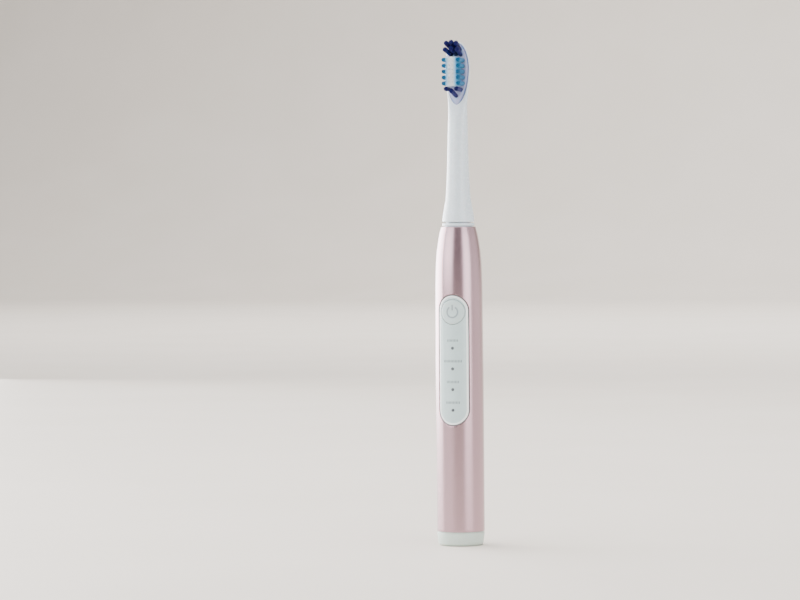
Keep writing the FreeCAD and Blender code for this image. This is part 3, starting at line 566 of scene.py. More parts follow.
class Finish(Wiring):
    """A Principled material on Object coordinates, with helpers that add texture to it."""

    def __init__(self, name, colour, roughness, metallic=0.0, **sockets):
        self.material = bpy.data.materials.new(name)
        self.material.use_nodes = True
        self.material.diffuse_color = (*colour, 1.0)
        super().__init__(self.material.node_tree)
        self.shader = self.tree.nodes["Principled BSDF"]
        self.shader.inputs["Base Color"].default_value = (*colour, 1.0)
        self.shader.inputs["Roughness"].default_value = roughness
        self.shader.inputs["Metallic"].default_value = metallic
        for socket, value in sockets.items():
            self.shader.inputs[socket.replace("_", " ")].default_value = value
        self.coordinates = self.tree.nodes.new("ShaderNodeTexCoord").outputs["Object"]

    def noise(self, scale, detail=3.0, stretch=(1, 1, 1)):
        links = {"Vector": self.coordinates, "Scale": stretch}
        mapped = self.add("ShaderNodeMapping", links).outputs[0]
        links = {"Vector": mapped, "Scale": scale, "Detail": detail}
        return self.add("ShaderNodeTexNoise", links).outputs["Fac"]

    def spread(self, source, low, high, start=0.0, end=1.0):
        """A value from start at low to end at high."""
        links = {0: source, 1: low, 2: high, 3: start, 4: end}
        return self.add("ShaderNodeMapRange", links).outputs[0]

    def ramp(self, source, stops):
        node = self.add("ShaderNodeValToRGB", {"Fac": source})
        elements = node.color_ramp.elements
        while len(elements) < len(stops):
            elements.new(0.5)
        for element, (place, colour) in zip(elements, stops):
            element.position = place
            element.color = (*colour, 1.0)
        return node.outputs["Color"]

    def feed(self, socket, source):
        self.tree.links.new(source, self.shader.inputs[socket])
        return self

    def tint(self, source, stops):
        return self.feed("Base Color", self.ramp(source, stops))

    def wear(self, source, low, high):
        """Roughness that varies between two values with a texture."""
        return self.feed("Roughness", self.spread(source, 0.3, 0.7, low, high))

    def bump(self, source, distance, strength):
        links = {"Height": source, "Distance": distance, "Strength": strength}
        return self.feed("Normal", self.add("ShaderNodeBump", links).outputs[0])


def near(colour, share):
    """A colour a little lighter, above 1, or darker."""
    return [min(channel * share, 1.0) for channel in colour]


def mottled(colour, low, high):
    """Ramp stops round a colour for a noise texture."""
    return (0.3, near(colour, low)), (0.7, near(colour, high))


def lacquered_metal(settings):
    colour, gloss = settings.metal_colour, settings.metal_roughness
    f = Finish("Satin Rose Lacquer", colour, gloss, 0.88, Coat_Weight=0.25, Coat_Roughness=0.2)
    flakes = f.noise(9000, 1.0)
    f.tint(flakes, mottled(colour, 0.93, 1.06))
    f.wear(f.noise(160, 4.0, (1, 1, 0.25)), gloss - 0.01, gloss + 0.01)
    return f.bump(flakes, 0.000002, 0.15).material


def satin_plastic(name, colour, roughness=0.32, spread=0.03):
    """Moulded plastic with a faint spark-eroded grain."""
    f = Finish(name, colour, roughness, 0.0, Subsurface_Weight=0.08, Subsurface_Scale=0.0015)
    f.tint(f.noise(220, 4.0), mottled(colour, 1 - spread, 1 + spread))
    f.wear(f.noise(900, 3.0), roughness - 0.04, roughness + 0.05)
    return f.bump(f.noise(5200, 2.0), 0.000006, 0.3).material


def panel_plastic(settings):
    """Soft panel plastic inside a brighter rim that follows the panel's outline; the rim's brightness is a
    painted highlight on the rounded edge.
    """
    colour = settings.panel_colour
    f = Finish("Panel Plastic", colour, 0.4, 0.0, Coat_Weight=0.6, Coat_Roughness=0.12)
    parts = f.split(f.coordinates)
    height = f.math("ABSOLUTE", f.math("SUBTRACT", parts[2], PANEL_CENTRE))
    past = f.math("MAXIMUM", f.math("SUBTRACT", height, PANEL_REACH), 0.0)
    out = f.math("SQRT", f.math("ADD", f.math("POWER", parts[0], 2.0), f.math("POWER", past, 2.0)))
    border, blend = PANEL_HALF - PANEL_RIM, 0.05 * MM
    # painted highlight: the band along the outline is painted brighter to stand in for the light on the
    # rounded rim
    rim = f.spread(out, border - blend, border + blend)
    grain = f.ramp(f.noise(220, 4.0), mottled(colour, 0.97, 1.03))
    links = {0: rim, 6: grain, 7: (*settings.rim_colour, 1.0)}  # 6 and 7 are the two colours
    f.feed("Base Color", f.add("ShaderNodeMix", links, data_type="RGBA").outputs[2])
    f.wear(f.noise(900, 3.0), 0.3, 0.4)
    return f.bump(f.noise(5200, 2.0), 0.000006, 0.3).material


def rubber(name, colour):
    f = Finish(name, colour, 0.7)
    f.tint(f.noise(700, 4.0), mottled(colour, 0.85, 1.15))
    f.wear(f.noise(1500, 2.0), 0.6, 0.8)
    return f.bump(f.noise(3500, 3.0), 0.00002, 0.4).material


def turned_steel(name, colour, roughness):
    """Ground or drawn metal with fine rings round the Z axis."""
    f = Finish(name, colour, roughness, 1.0)
    rings = f.noise(260, 2.0, (0.05, 0.05, 30))
    f.tint(rings, mottled(colour, 0.9, 1.05))
    f.wear(f.noise(800, 3.0), roughness - 0.05, roughness + 0.08)
    return f.bump(rings, 0.000008, 0.35).material


def wound_wire(name, colour):
    """Enamelled wire laid in even turns, with painted shade in the grooves between the turns."""
    f = Finish(name, colour, 0.3, 0.9, Coat_Weight=0.6)
    wave = f.add("ShaderNodeTexWave", {"Vector": f.coordinates, "Scale": 1500.0}, bands_direction="Z")
    turns = wave.outputs["Fac"]
    # painted shade: the low parts of the wave, the grooves between turns, are painted darker
    f.tint(turns, ((0.2, near(colour, 0.5)), (0.6, colour)))
    return f.bump(turns, 0.00008, 0.8).material


def plain_mould(name, colour, roughness=0.55, scale=900):
    f = Finish(name, colour, roughness)
    f.tint(f.noise(scale / 4, 4.0), mottled(colour, 0.9, 1.1))
    f.wear(f.noise(scale, 3.0), roughness - 0.08, roughness + 0.08)
    return f.bump(f.noise(scale * 3, 2.0), 0.00001, 0.4).material


def circuit_board_finish():
    f = Finish("Solder Mask", srgb("1F5A3C"), 0.35, 0.0, Coat_Weight=0.4)
    cells = f.add("ShaderNodeTexVoronoi", {"Vector": f.coordinates, "Scale": 420.0}, distance="CHEBYCHEV")
    tracks = cells.outputs["Distance"]
    f.tint(tracks, ((0.25, srgb("2F7A52")), (0.35, srgb("1B5237"))))
    return f.bump(tracks, 0.00003, 0.4).material


def clear_plate(settings):
    colour, edge = settings.plate_colour, settings.plate_edge_colour
    light = {"Transmission_Weight": 0.35, "IOR": 1.46, "Subsurface_Weight": 0.3, "Subsurface_Scale": 0.002}
    f = Finish("Clear Head Plate", colour, 0.18, **light)
    place = f.spread(f.split(f.coordinates)[1], FRONT_Y, SPLIT_Y)
    # painted shade: behind its front face the clear plate is painted darker, down to the dark blue of its
    # side wall
    f.tint(place, ((0.0, colour), (0.12, near(colour, 0.92)), (0.4, edge), (1.0, edge)))
    f.wear(f.noise(900, 3.0), 0.14, 0.24)
    return f.bump(f.noise(2600, 2.0), 0.000006, 0.3).material


def field_nylon(settings):
    """Milky nylon, whiter in the middle of the block than at its sides; the cyan towards the sides is
    painted shade, tinted blue.
    """
    colour, side = settings.field_colour, settings.field_side_colour
    f = Finish("Field Nylon", colour, 0.4, 0.0, Subsurface_Weight=0.15, Subsurface_Scale=0.001)
    away = f.spread(f.math("ABSOLUTE", f.split(f.coordinates)[0]), 0.6 * MM, 2.6 * MM)
    # painted shade: the colour turns cyan with distance from the middle of the block
    f.tint(away, ((0.0, colour), (0.25, colour), (1.0, side)))
    f.wear(f.noise(2500, 2.0), 0.34, 0.48)
    return f.bump(f.noise(6000, 1.0), 0.000005, 0.3).material


def nylon(name, colour, root_shade_share, tip_share):
    """Bristle nylon that changes from its tip to its root: darker at the root as painted shade deep in the
    tuft, and darker at the very tip.
    """
    light = {"Subsurface_Weight": 0.1, "Subsurface_Scale": 0.0008, "Specular_IOR_Level": 0.2}
    f = Finish(name, colour, 0.38, **light)
    place = f.spread(f.split(f.coordinates)[1], FRONT_Y - TUFT_REACH, FRONT_Y)
    tip, root = near(colour, tip_share), near(colour, root_shade_share)
    # painted shade: the colour darkens towards the root by the plate; the tips are darker too
    f.tint(place, ((0.0, tip), (0.12, colour), (0.7, colour), (1.0, root)))
    f.wear(f.noise(2500, 2.0), 0.32, 0.46)
    return f.bump(f.noise(6000, 1.0), 0.000005, 0.3).material


def tinted_lens():
    f = Finish("Indicator Lens", srgb("5E666B"), 0.22, 0.0, Transmission_Weight=0.25, Coat_Weight=0.5)
    f.tint(f.noise(1800, 3.0), ((0.3, srgb("4A5156")), (0.7, srgb("6C7479"))))
    return f.bump(f.noise(2600, 2.0), 0.000006, 0.3).material


def print_finish(name, colour):
    f = Finish(name, colour, 0.5)
    return f.tint(f.noise(5000, 2.0), mottled(colour, 0.93, 1.07)).material


# Shapes of the pieces


def shell_profile():
    """Closed outline of the handle tube's wall."""
    low, high = SHELL_LOW.z, SHELL_HIGH.z
    soft = 0.22 * MM
    outer = [(handle_radius(z), z) for z in heights(low + soft, high - soft, 1.2 * MM)]
    lip = arc((handle_radius(high) - soft, high - soft), soft, 10, 90, 5)
    foot = arc((handle_radius(low) - soft, low + soft), soft, -90, -10, 5)
    step = high - RIM_DEPTH
    bore = [(RIM_BORE, high), (RIM_BORE, step), (handle_radius(step) - WALL, step)]
    inner = [(handle_radius(z) - WALL, z) for z in heights(low, step, 3 * MM)][::-1]
    return foot + outer + lip + bore + inner[1:]


def cap_profile():
    """Closed outline of the base cap with its charger recess."""
    seam = SHELL_LOW.z
    seam_height, seam_inset = 0.45 * MM, 0.35 * MM
    top = HANDLE_RADIUS - 0.15 * MM
    foot = HANDLE_RADIUS - 0.55 * MM
    edge = 1.75 * MM
    soft = 0.25 * MM
    step = seam - seam_height
    recess = RECESS["dims"]["r_mm"] * MM
    depth = 14.0 * MM
    lead, chamfer = 0.6 * MM, 0.3 * MM
    outline = arc((foot - edge, edge), edge, -90, 0, 10)
    rise = step - soft - edge
    bow = [math.sin(math.pi / 2 * k / 8) for k in range(1, 9)]
    outline += [(foot + (top - foot) * out, edge + rise * (k + 1) / 8) for k, out in enumerate(bow)]
    outline += arc((top - soft, step - soft), soft, 20, 90, 5)
    spigot = seam + 7.3 * MM
    bore = HANDLE_RADIUS - WALL
    inside = bore - 1.5 * MM
    outline += [(top - seam_inset, step), (top - seam_inset, seam), (bore - FIT, seam), (bore - FIT, spigot)]
    boss = recess + 1.2 * MM
    floor = 2.2 * MM
    outline += [(inside, spigot), (inside, floor), (boss, floor), (boss, CAP_TOP), (0.0, CAP_TOP)]
    outline += [(0.0, depth), (recess - chamfer, depth), (recess, depth - chamfer), (recess, lead)]
    outline += arc((recess + lead, lead), lead, 180, 270, 5)
    return outline


def collar_profile():
    """Closed outline of the white collar, with a groove under it and a boss inside the neck's foot."""
    low, high = SHELL_HIGH.z, COLLAR_HIGH.z
    radius = COLLAR_HIGH.x
    soft = 0.4 * MM
    groove_top = low + 0.52 * MM
    outline = [(COLLAR_BORE, COLLAR_LOW.z), (RIM_BORE - FIT, COLLAR_LOW.z), (RIM_BORE - FIT, low)]
    outline += [(radius - COLLAR_GROOVE, low), (radius - COLLAR_GROOVE, groove_top)]
    outline += [(radius - 0.1 * MM, groove_top), (radius, low + 0.6 * MM)]
    outline += arc((radius - soft, high - soft), soft, 0, 90, 6)
    dish = high - 0.55 * MM
    outline += [(radius - 0.75 * MM, high), (radius - 0.95 * MM, high - 0.12 * MM)]
    outline.append((radius - 1.2 * MM, dish))
    boss_top = NECK_LOW.z + 0.5 * MM
    outline += [(COLLAR_BOSS, dish), (COLLAR_BOSS, boss_top), (COLLAR_LIP, boss_top)]
    lip = SEAL_TOP + FIT
    return outline + [(COLLAR_LIP, lip), (COLLAR_BORE, lip)]


def neck_row(height):
    """Half width, middle, front depth and back depth at a height above the neck's foot."""
    values = [smooth([(row[0], row[k]) for row in NECK], height) for k in (1, 2, 3, 4)]
    if height > HEAD_WIDEST:
        share = (height - HEAD_WIDEST) / (HEAD_TOP - HEAD_WIDEST)
        close = math.sqrt(max(1 - share * share, 0.0))
        values = [values[0] * close, values[1], values[2] * close ** 0.6, values[3] * close ** 0.8]
    return [v * MM for v in values]


def neck_section(height, segments=96):
    """A closed section of the neck or head: round behind, flatter in front of the bristles."""
    half, middle, front, back = neck_row(height)
    flat = min(max((height - 50) / 10, 0.0), 1.0)
    square = 2 + 2.2 * flat
    ring = []
    for k in range(segments):
        a = 2 * math.pi * k / segments
        c, s = math.cos(a), math.sin(a)
        depth = back if s > 0 else front
        n = 2.0 if s > 0 else square
        x = half * math.copysign(abs(c) ** (2 / n), c)
        y = middle + depth * math.copysign(abs(s) ** (2 / n), s)
        ring.append(Vector((x, y, NECK_LOW.z + height * MM)))
    return ring


def neck_mesh():
    """The neck and the head's back as one skin, hollow at the foot."""
    levels = heights(0.5, HEAD_WIDEST, 0.9)
    cap = [HEAD_WIDEST + (HEAD_TOP - HEAD_WIDEST) * math.sin(math.pi / 2 * k / 24) for k in range(1, 24)]
    outer = [neck_section(h) for h in levels + cap]
    foot = NECK_LOW.z
    rim = 0.5 * MM
    width = NECK_HIGH.x - 0.05 * MM
    bore, bore_foot = 3.43, 6.3
    pocket = [(bore, bore_foot), (4.6, bore_foot), (6.2, 0.25), (6.4, 0.0)]
    angles = [2 * math.pi * k / 96 for k in range(96)]

    def circle(radius, z):
        return [Vector((radius * math.cos(a), radius * math.sin(a), z)) for a in angles]

    edge = [circle(r, foot + z) for r, z in arc((width - rim, rim), rim, -90, -10, 5)]
    inner = [circle(bore * MM, SLEEVE_TOP)] + [circle(r * MM, foot + z * MM) for r, z in pocket]
    return loft("neck_shell", inner + edge + outer)


def plate_outline(scale, y, segments=48):
    """The clear plate's pointed oval, shrunk towards the head's widest point."""
    middle = NECK_LOW.z + HEAD_WIDEST * MM
    half = PLATE_HALF * scale
    up = (HEAD_TOP - HEAD_WIDEST) * MM * scale
    down = (HEAD_WIDEST - PLATE_TIP) * MM * scale
    ring = []
    for k in range(segments):
        a = math.pi * k / segments
        ring.append(Vector((half * math.cos(a), y, middle + up * math.sin(a))))
    for k in range(segments):
        t = 1 - abs(1 - 2 * k / segments)
        t = 1 - (1 - t) ** 1.6
        width = half * (1 - t ** 2.1) ** 0.78
        side = -1 if 2 * k <= segments else 1
        ring.append(Vector((side * width, y, middle - down * t)))
    return ring


def plate_mesh():
    """The clear plate: a rounded pad in front of the head's back."""
    depth = SPLIT_Y - FRONT_Y
    edge = [(0.77 + 0.195 * math.sin(math.pi / 2 * k / 8), math.cos(math.pi / 2 * k / 8)) for k in range(9)]
    rings = [plate_outline(scale, FRONT_Y) for scale in (0.05, 0.2, 0.4, 0.6, 0.74)]
    rings += [plate_outline(scale, SPLIT_Y - depth * share) for scale, share in edge]
    return loft("plate_clear", rings)


def tufts_of(node):
    """(root, tip) of each round tuft of a CAD node, from its own mesh."""
    bm = bmesh.new()
    bm.from_mesh(frame["nodes"][node].data)
    bmesh.ops.remove_doubles(bm, verts=bm.verts, dist=1e-6)
    left = set(bm.verts)
    tufts = []
    while left:
        island = set()
        front = [left.pop()]
        while front:
            vert = front.pop()
            island.add(vert)
            for edge in vert.link_edges:
                other = edge.other_vert(vert)
                if other in left:
                    left.remove(other)
                    front.append(other)
        middle = sum((v.co for v in island), Vector()) / len(island)
        ends = []
        for side in (1, -1):
            group = [v.co for v in island if side * (v.co.y - middle.y) > 0]
            ends.append(sum(group, Vector()) / len(group))
        tufts.append(tuple(ends))
    bm.free()
    return sorted(tufts, key=lambda pair: (round(pair[0].z, 5), round(pair[0].x, 5)))


def points_with(name, rows):
    """A mesh of loose points that carry a direction and a reach."""
    mesh = bpy.data.meshes.new(name)
    mesh.from_pydata([place for place, direction, reach in rows], [], [])
    directions = mesh.attributes.new("direction", "FLOAT_VECTOR", "POINT")
    directions.data.foreach_set("vector", [c for place, direction, reach in rows for c in direction])
    reaches = mesh.attributes.new("reach", "FLOAT", "POINT")
    reaches.data.foreach_set("value", [reach for place, direction, reach in rows])
    return mesh


# Settings


def size(label, millimetres, about):
    return bpy.props.FloatProperty(
        name=label, default=millimetres * MM, description=about, unit="LENGTH", precision=5
    )


def share(label, value, low, high, about):
    return bpy.props.FloatProperty(
        name=label, default=value, min=low, max=high, subtype="FACTOR", description=about
    )


def shade(label, code, about):
    return bpy.props.FloatVectorProperty(
        name=label, default=srgb(code), size=3, subtype="COLOR", min=0.0, max=1.0, description=about
    )


class BrushColours(bpy.types.PropertyGroup):
    metal_colour: shade("Handle", "AE9098", "Lacquer on the handle's shell")
    metal_roughness: share("Handle Roughness", 0.25, 0.1, 0.8, "Roughness of the lacquer")
    white_colour: shade("Neck", "C9D4DC", "Plastic of the neck and the collar")
    base_colour: shade("Base", "BDCBC3", "Plastic of the base cap")
    panel_colour: shade("Panel", "B4C8CA", "Soft plastic of the control panel")
    # painted highlight: this rim colour stands in for the light on the panel's rounded edge
    rim_colour: shade("Panel Rim", "E9EEEF", "Bright rim round the control panel")
    button_colour: shade("Button", "B6C7C8", "Soft plastic of the button")
    symbol_colour: shade("Symbol", "87959A", "Power symbol on the button")
    label_colour: shade("Dashes", "727E83", "Strokes printed over the indicators")
    plate_colour: shade("Plate", "B9C3EA", "Clear plate that the bristles stand in")
    # painted shade: the side of the clear plate is painted darker blue as shade
    plate_edge_colour: shade("Plate Edge", "566C9E", "Side of the clear plate")
    side_colour: shade("Side Bristles", "1C6F9E", "Nylon of the two side rows")
    field_colour: shade("Field Bristles", "F4FAFF", "Nylon of the middle block")
    # painted shade: cyan painted at the sides of the middle block
    field_side_colour: shade("Field Sides", "58C2F0", "Nylon at the sides of the middle block")
    tip_colour: shade("Tip Bristles", "10125C", "Nylon of the tufts at the head's end")


class BrushSizes(bpy.types.PropertyGroup):
    filaments: bpy.props.IntProperty(
        name="Filaments", default=72, min=12, max=120, description="Filaments in each tuft"
    )
    filament_radius: size("Filament Radius", 0.1, "Radius of one bristle filament")
    flare: size("Flare", 0.2, "How far a tuft opens at its tip")
    wander: size("Wander", 0.08, "How far a filament's tip strays from its place")
    trim: share("Trim", 0.03, 0.0, 0.3, "Spread of the filament lengths")
    symbol_radius: size("Symbol Radius", 2.6, "Middle radius of the power symbol's ring")
    symbol_stroke: size("Symbol Stroke", 0.75, "Width of the power symbol's line")
    dash_height: size("Dash Height", 1.15, "Height of a printed stroke")
    dish: size("Button Dish", 0.25, "Depth of the hollow in the button's face")


# Operators


class PieceOperator:
    """What the operators that build pieces share."""

    bl_options = {"REGISTER", "UNDO"}

    @property
    def colours(self):
        return bpy.context.scene.brush_colours

    @property
    def sizes(self):
        return bpy.context.scene.brush_sizes

    def execute(self, context):
        self.build()
        return {"FINISHED"}


class BRUSH_OT_handle(PieceOperator, bpy.types.Operator):
    """Turn the lacquered handle shell and cut the window for the panel"""

    bl_idname = "brush.handle"
    bl_label = "Handle Shell"

    def build(self):
        material = lacquered_metal(self.colours)
        obj = turned("handle_skin", shell_profile(), 192, material)
        half = PANEL_HALF + GASKET_WIDTH + 2 * FIT
        cut(obj, [opening(half, PANEL_REACH, PANEL_CENTRE, 2 * WALL, 32)])
        finish_piece(obj, HANDLE, material, "rose_metal", "handle_shell")
        repaint(rubber("Gasket Rubber", srgb("2B2D30")), "panel_gasket")
        repaint(rubber("Seal Rubber", srgb("3A3D40")), "shaft_seal", "base_seal", "motor_dampers")


class BRUSH_OT_base(PieceOperator, bpy.types.Operator):
    """Turn the base cap with its rounded foot and charger recess"""

    bl_idname = "brush.base"
    bl_label = "Base Cap"

    def build(self):
        material = satin_plastic("Base Plastic", self.colours.base_colour, 0.38)
        obj = turned("base_skin", cap_profile(), 160, material)
        finish_piece(obj, HANDLE, material, "base_plastic", "base_cap")


class BRUSH_OT_collar(PieceOperator, bpy.types.Operator):
    """Turn the white collar round the shaft"""

    bl_idname = "brush.collar"
    bl_label = "Collar"

    def build(self):
        material = satin_plastic("Collar Plastic", self.colours.white_colour, 0.3)
        obj = turned("collar_ring", collar_profile(), 128, material)
        finish_piece(obj, HANDLE, material, "white_plastic", "top_collar")


class BRUSH_OT_panel(PieceOperator, bpy.types.Operator):
    """Shape the soft panel with its rounded rim, painted bright as a highlight, and its openings"""

    bl_idname = "brush.panel"
    bl_label = "Control Panel"

    def build(self):
        material = panel_plastic(self.colours)
        low = -0.35 * MM
        side = [(0.0, low)]
        crown = [(0.06 * MM, low + 0.16 * MM), (0.2 * MM, -0.06 * MM), (0.45 * MM, 0.0)]
        crown += [(0.7 * MM, -0.05 * MM), (PANEL_RIM, -FACE_DROP)]
        layers = pad_layers(PANEL_HALF, side, crown, -INSERT_BACK, -FACE_DROP)
        mesh = pad("panel_face", PANEL_HALF, PANEL_REACH, PANEL_CENTRE, layers, 32)
        obj = new_object("panel_face", mesh)
        holes = [opening(BUTTON_RADIUS + BUTTON_GAP, 0.0, BUTTON_CENTRE, 4 * MM, 48, 0.2 * MM)]
        for z in indicator_heights():
            holes.append(opening(LENS_RADIUS + FIT, 0.0, z, 4 * MM, 16, 0.05 * MM))
        cut(obj, holes)
        finish_piece(obj, HANDLE, material, "panel_plastic", "control_panel")


def indicator_heights():
    return heights(INDICATOR_FIRST, INDICATOR_LAST, (INDICATOR_LAST - INDICATOR_FIRST) / (INDICATORS - 1))


class BRUSH_OT_button(PieceOperator, bpy.types.Operator):
    """Shape the round button and lay the power symbol on it"""

    bl_idname = "brush.button"
    bl_label = "Power Button"

    def build(self):
        material = satin_plastic("Button Plastic", self.colours.button_colour, 0.36)
        top = BUTTON_PROUD
        side = [(0.0, top - 0.5 * MM)]
        crown = [(0.05 * MM, top - 0.22 * MM), (0.18 * MM, top - 0.07 * MM), (0.4 * MM, top)]
        back, post_end = -1.7 * MM, -2.05 * MM
        post = BUTTON_RADIUS - POST_RADIUS
        layers = pad_layers(BUTTON_RADIUS, side, crown, back, top, self.sizes.dish)
        while layers[0][0] >= post:
            layers.pop(0)
        layers = [(BUTTON_RADIUS, post_end), (post, post_end), (post, back)] + layers
        obj = new_object("power_cap", pad("power_cap", BUTTON_RADIUS, 0.0, BUTTON_CENTRE, layers, 48))
        finish_piece(obj, BUTTON, material, "panel_plastic", "power_button")
        symbol = print_finish("Symbol Ink", self.colours.symbol_colour)
        obj = joined("power_symbol", self.symbol_strokes())
        finish_piece(obj, BUTTON, symbol, "lens")

    def face(self, x, z, lift):
        """A point that far above the button's dished face."""
        out = min(math.hypot(x, z) / (BUTTON_RADIUS - 0.4 * MM), 1.0)
        drop = self.sizes.dish * math.sin((1 - out) * math.pi / 2) ** 2
        return on_handle(x, BUTTON_CENTRE + z, BUTTON_PROUD - drop + lift)

    def symbol_strokes(self):
        """A ring open at the top, and a short bar in the gap."""
        ring = self.sizes.symbol_radius
        half = self.sizes.symbol_stroke / 2
        turns = [math.radians(90 + 32 + (360 - 64) * k / 64) for k in range(65)]
        paths = [[(ring * math.cos(a), ring * math.sin(a)) for a in turns]]
        paths.append([(0.0, ring * (0.3 + k / 8)) for k in range(9)])
        corners = ((1, -0.05), (1, 0.02), (-1, 0.02), (-1, -0.05))
        meshes = []
        for path in paths:
            rings = []
            for k, (x, z) in enumerate(path):
                before, after = path[max(k - 1, 0)], path[min(k + 1, len(path) - 1)]
                dx, dz = after[0] - before[0], after[1] - before[1]
                length = math.hypot(dx, dz)
                nx, nz = -dz / length * half, dx / length * half
                rings.append([self.face(x + side * nx, z + side * nz, lift * MM) for side, lift in corners])
            meshes.append(loft("stroke", rings))
        return meshes


class BRUSH_OT_indicators(PieceOperator, bpy.types.Operator):
    """Set the indicator lenses and print the rows of strokes over them"""

    bl_idname = "brush.indicators"
    bl_label = "Indicators"

    def build(self):
        lens = tinted_lens()
        meshes = []
        for z in indicator_heights():
            side = [(0.0, -FACE_DROP - 0.05 * MM)]
            crown = [(0.05 * MM, -FACE_DROP), (0.2 * MM, -FACE_DROP + 0.03 * MM)]
            face = -FACE_DROP + 0.05 * MM
            layers = pad_layers(LENS_RADIUS, side, crown, -INSERT_BACK, face, 0.0, 0.25 * MM)
            meshes.append(pad("lens", LENS_RADIUS, 0.0, z, layers, 16))
        obj = joined("indicator_lenses", meshes)
        finish_piece(obj, HANDLE, lens, "lens", "indicator_windows")
        ink = print_finish("Label Ink", self.colours.label_colour)
        rows = []
        for z, width in zip(indicator_heights(), LABEL_WIDTHS):
            count = round(width / STROKE_PITCH)
            for k in range(count):
                x = (k - (count - 1) / 2) * STROKE_PITCH
                place = on_handle(x, z + LABEL_RISE, -FACE_DROP)
                rows.append((place, (place.x, place.y, 0.0), STROKE_LENGTH))
        values = {"Height": self.sizes.dash_height, "Material": ink}
        obj = grow("panel_marks", points_with("panel_marks", rows), printed_dashes, values)
        finish_piece(obj, HANDLE, ink, "lens")


class BRUSH_OT_neck(PieceOperator, bpy.types.Operator):
    """Loft the white neck and the back of the head"""

    bl_idname = "brush.neck"
    bl_label = "Neck"

    def build(self):
        material = satin_plastic("Neck Plastic", self.colours.white_colour, 0.26)
        obj = new_object("neck_shell", neck_mesh())
        finish_piece(obj, HEAD, material, "white_plastic", "brush_neck")


class BRUSH_OT_plate(PieceOperator, bpy.types.Operator):
    """Shape the clear plate that the bristles stand in"""

    bl_idname = "brush.plate"
    bl_label = "Bristle Plate"

    def build(self):
        material = clear_plate(self.colours)
        obj = new_object("plate_clear", plate_mesh())
        finish_piece(obj, HEAD, material, "clear_plate", "bristle_plate")


class BRUSH_OT_bristles(PieceOperator, bpy.types.Operator):
    """Plant filaments in the place of every tuft"""

    bl_idname = "brush.bristles"
    bl_label = "Bristles"

    def build(self):
        colours = self.colours
        side, tip = colours.side_colour, colours.tip_colour
        tufts = {
            "side_tufts": (nylon("Side Nylon", side, 0.55, 0.7), "blue_bristle", 0.92, 1.0, 11),
            "field_tufts": (field_nylon(colours), "pale_bristle", 0.9, 1.3, 23),
            "tip_tufts": (nylon("Tip Nylon", tip, 0.7, 0.85), "navy_bristle", 0.98, 1.2, 37),
            "heel_tufts": (nylon("Heel Nylon", tip, 0.7, 0.85), "navy_bristle", 0.92, 1.0, 41),
        }
        for node, (material, slot, radius, flare, seed) in tufts.items():
            rows = []
            for root, far in tufts_of(node):
                reach = far - root
                rows.append((root, reach.normalized(), reach.length * REACH_SHARE))
            values = {
                "Filaments": self.sizes.filaments,
                "Tuft Radius": radius * MM,
                "Filament Radius": self.sizes.filament_radius,
                "Flare": self.sizes.flare * flare,
                "Wander": self.sizes.wander,
                "Trim": self.sizes.trim,
                "Seed": seed,
                "Material": material,
            }
            name = node.replace("tufts", "bristles")
            obj = grow(name, points_with(name, rows), bristle_tufts, values)
            obj.data.shade_smooth()
            finish_piece(obj, HEAD, material, slot, node)


class BRUSH_OT_inside(PieceOperator, bpy.types.Operator):
    """Give the pieces inside the handle and the head their finishes"""

    bl_idname = "brush.inside"
    bl_label = "Inner Pieces"

    def build(self):
        slots = {part["node"]: part["material_slot"] for part in frame["record"]["subparts"]}
        finishes = {
            "steel": turned_steel("Ground Steel", srgb("C3C6C9"), 0.24),
            "spring_steel": turned_steel("Spring Steel", srgb("8F949A"), 0.35),
            "bronze": turned_steel("Sintered Bronze", srgb("B08A54"), 0.45),
            "nickel": turned_steel("Nickel Plate", srgb("C9C7BF"), 0.3),
            "magnet_steel": turned_steel("Plated Magnet", srgb("9DA0A6"), 0.4),
            "copper": wound_wire("Copper Winding", srgb("B5632F")),
            "board_green": circuit_board_finish(),
            "black_plastic": plain_mould("Black Moulding", srgb("24262A")),
            "led_white": plain_mould("White Diode", srgb("E8E4D0"), 0.35),
            "cell_jacket": plain_mould("Cell Jacket", srgb("3E6FA8"), 0.35, 300),
            "ferrite": plain_mould("Ferrite", srgb("3B3A3C"), 0.75),
            "chassis_plastic": plain_mould("Chassis Plastic", srgb("DADCD8")),
            "lead_insulation": plain_mould("Lead Insulation", srgb("A83232"), 0.5),
            "white_plastic": plain_mould("Natural Plastic", srgb("DDE0DF")),
        }
        for node in sorted(set(slots) - OUTER_NODES):
            repaint(finishes[slots[node]], node)


# Soft boxes round the object: name, bearing from the camera in degrees, distance, height of the lower
# edge, width, height, radiance, colour
LIGHTS = (
    ("Left Front", -57.0, 1.4, 0.13, 1.35, 1.4, 2.4, "FFFFFF"),
    ("Right Front", 41.0, 1.4, 0.0, 0.97, 1.4, 2.2, "FFFFFF"),
    ("Right Side", 92.0, 1.5, 0.0, 1.95, 1.4, 0.5, "FFFCF8"),
    ("Left Behind", -128.0, 1.5, 0.0, 2.34, 1.4, 7.0, "FFFFFF"),
)
LIGHT_SPREAD = math.radians(110)
# Flat lights overhead: name, place, aim, width, depth, radiance
OVERHEAD = (
    ("Overhead", (0.0, 0.0, 2.2), (0.0, 0.0, 0.0), 2.2, 2.2, 2.8),
    ("Backdrop", (0.0, 2.6, 3.4), (0.0, 4.0, 0.0), 5.0, 2.6, 6.0),
)
VIEW_TURN = 17.2
VIEW_DISTANCE = 1.65
VIEW_HEIGHT = 0.153
VIEW_YAW = 0.976
VIEW_PITCH = 1.254
VIEW_ROLL = -0.5
VIEW_LENS = 156.0


